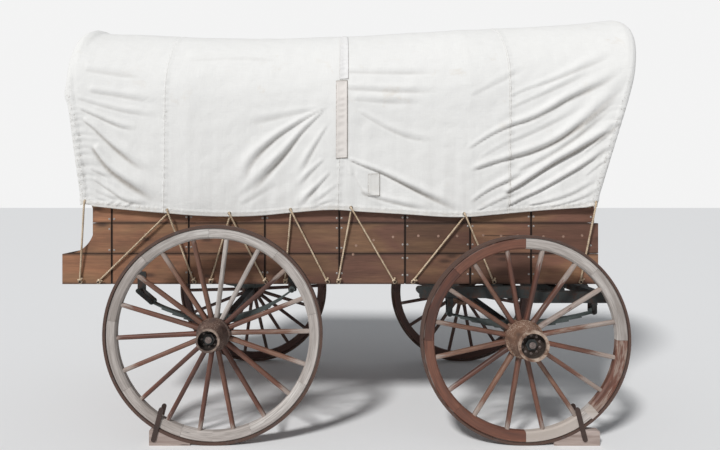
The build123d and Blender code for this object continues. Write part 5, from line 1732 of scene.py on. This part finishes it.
for side, hand in ((-1, "right"), (1, "left")):
    bolts = [(joint + sign * bolt_offset, side * board_face, z)
             for joint, both_sides in joint_bolts.items()
             for sign, heights in zip((-1, 1), both_sides) for z in heights]
    grow(f"bolts_{hand}", stud_tree, point_mesh("bolts", bolts), zinc, "wagon", "gear_iron",
         **bolt_sizes)
    plugs = [(x, side * board_face, z) for x, z in plug_places]
    grow(f"plugs_{hand}", stud_tree, point_mesh("plugs", plugs), plug_wood, "wagon", "box_wood",
         **plug_sizes)

# %% [markdown]
# Hubs. A ring of small bolts holds the bearing's plate in each recess, and the axle's nut has a
# bright face where the wrench has worn it. The bolts turn with the wheel and the nut doesn't.

# %% Hub bolts
recess_floor = 0.873  # |Y| of the bottom of the hub's recess
nut_face = 0.8975
nut_sizes = stud_sizes(0.0150, 0.0035, 0.0205, 0.0022)
hub_rows = {  # bolts, radius of their ring, radius of a bolt's head
    "rear": (8, 0.047, 0.0048),
    "front": (10, 0.056, 0.0065),
}
for place, (count, ring_radius, head) in hub_rows.items():
    centre_x, centre_z = wheel_rows[place][:2]
    for side, hand in ((-1, "right"), (1, "left")):
        turns = [2 * pi * k / count for k in range(count)]
        places = [(centre_x + ring_radius * sin(turn), side * recess_floor,
                   centre_z + ring_radius * cos(turn)) for turn in turns]
        grow(f"hub_bolts_{place}_{hand}", stud_tree, point_mesh("hub_bolts", places), worn_iron,
             f"wheel_{place}_{hand}", "hub_iron", **stud_sizes(head, 0.0045, head * 1.35, 0.002))
    nuts = [(centre_x, side * nut_face, centre_z) for side in (-1, 1)]
    grow(f"nut_faces_{place}", stud_tree, point_mesh("nut_faces", nuts), worn_iron,
         "front_gear" if place == "front" else "wagon", "gear_iron", **nut_sizes)

# %% [markdown]
# A repair. The lowest felloe of the right front wheel is new wood, and a pale block is screwed
# on beside it, where the next felloe has lost its inner edge. It is one bevelled block whose
# place is given by its angle and radius on the wheel.

# %% Repair block
block_angle = radians(137.5)
block_radii = (0.564, 0.646)
block_half_width = 0.027
block_faces = (0.7955, 0.7990)  # |Y| of the felloe's side and of the block's
centre_x, centre_z = wheel_rows["front"][:2]
block = bpy.data.meshes.new("repair_block")
corners = []
for depth in block_faces:
    for radius, across in zip((block_radii[0],) * 2 + (block_radii[1],) * 2, (-1, 1, 1, -1)):
        corners.append((centre_x + radius * sin(block_angle) + across * block_half_width * cos(block_angle),
                        -depth,
                        centre_z + radius * cos(block_angle) - across * block_half_width * sin(block_angle)))
sides = [(k, (k + 1) % 4, 4 + (k + 1) % 4, 4 + k) for k in range(4)]
block.from_pydata(corners, [], [(3, 2, 1, 0), (4, 5, 6, 7)] + sides)
repair = bpy.data.objects.new("repair_block", block)
bpy.context.scene.collection.objects.link(repair)
work = bmesh.new()
work.from_mesh(block)
bmesh.ops.recalc_face_normals(work, faces=work.faces)
work.to_mesh(block)
work.free()
bevel = repair.modifiers.new("edges", "BEVEL")
bevel.width, bevel.segments = 0.0012, 2
apply_modifiers(repair)
dress(repair.data, bare_wood_finish("new wood", pale_wood, pale_wood_dark, 5.0))
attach(repair, "wheel_front_right")
print(repair.name, "faces:", len(repair.data.polygons))
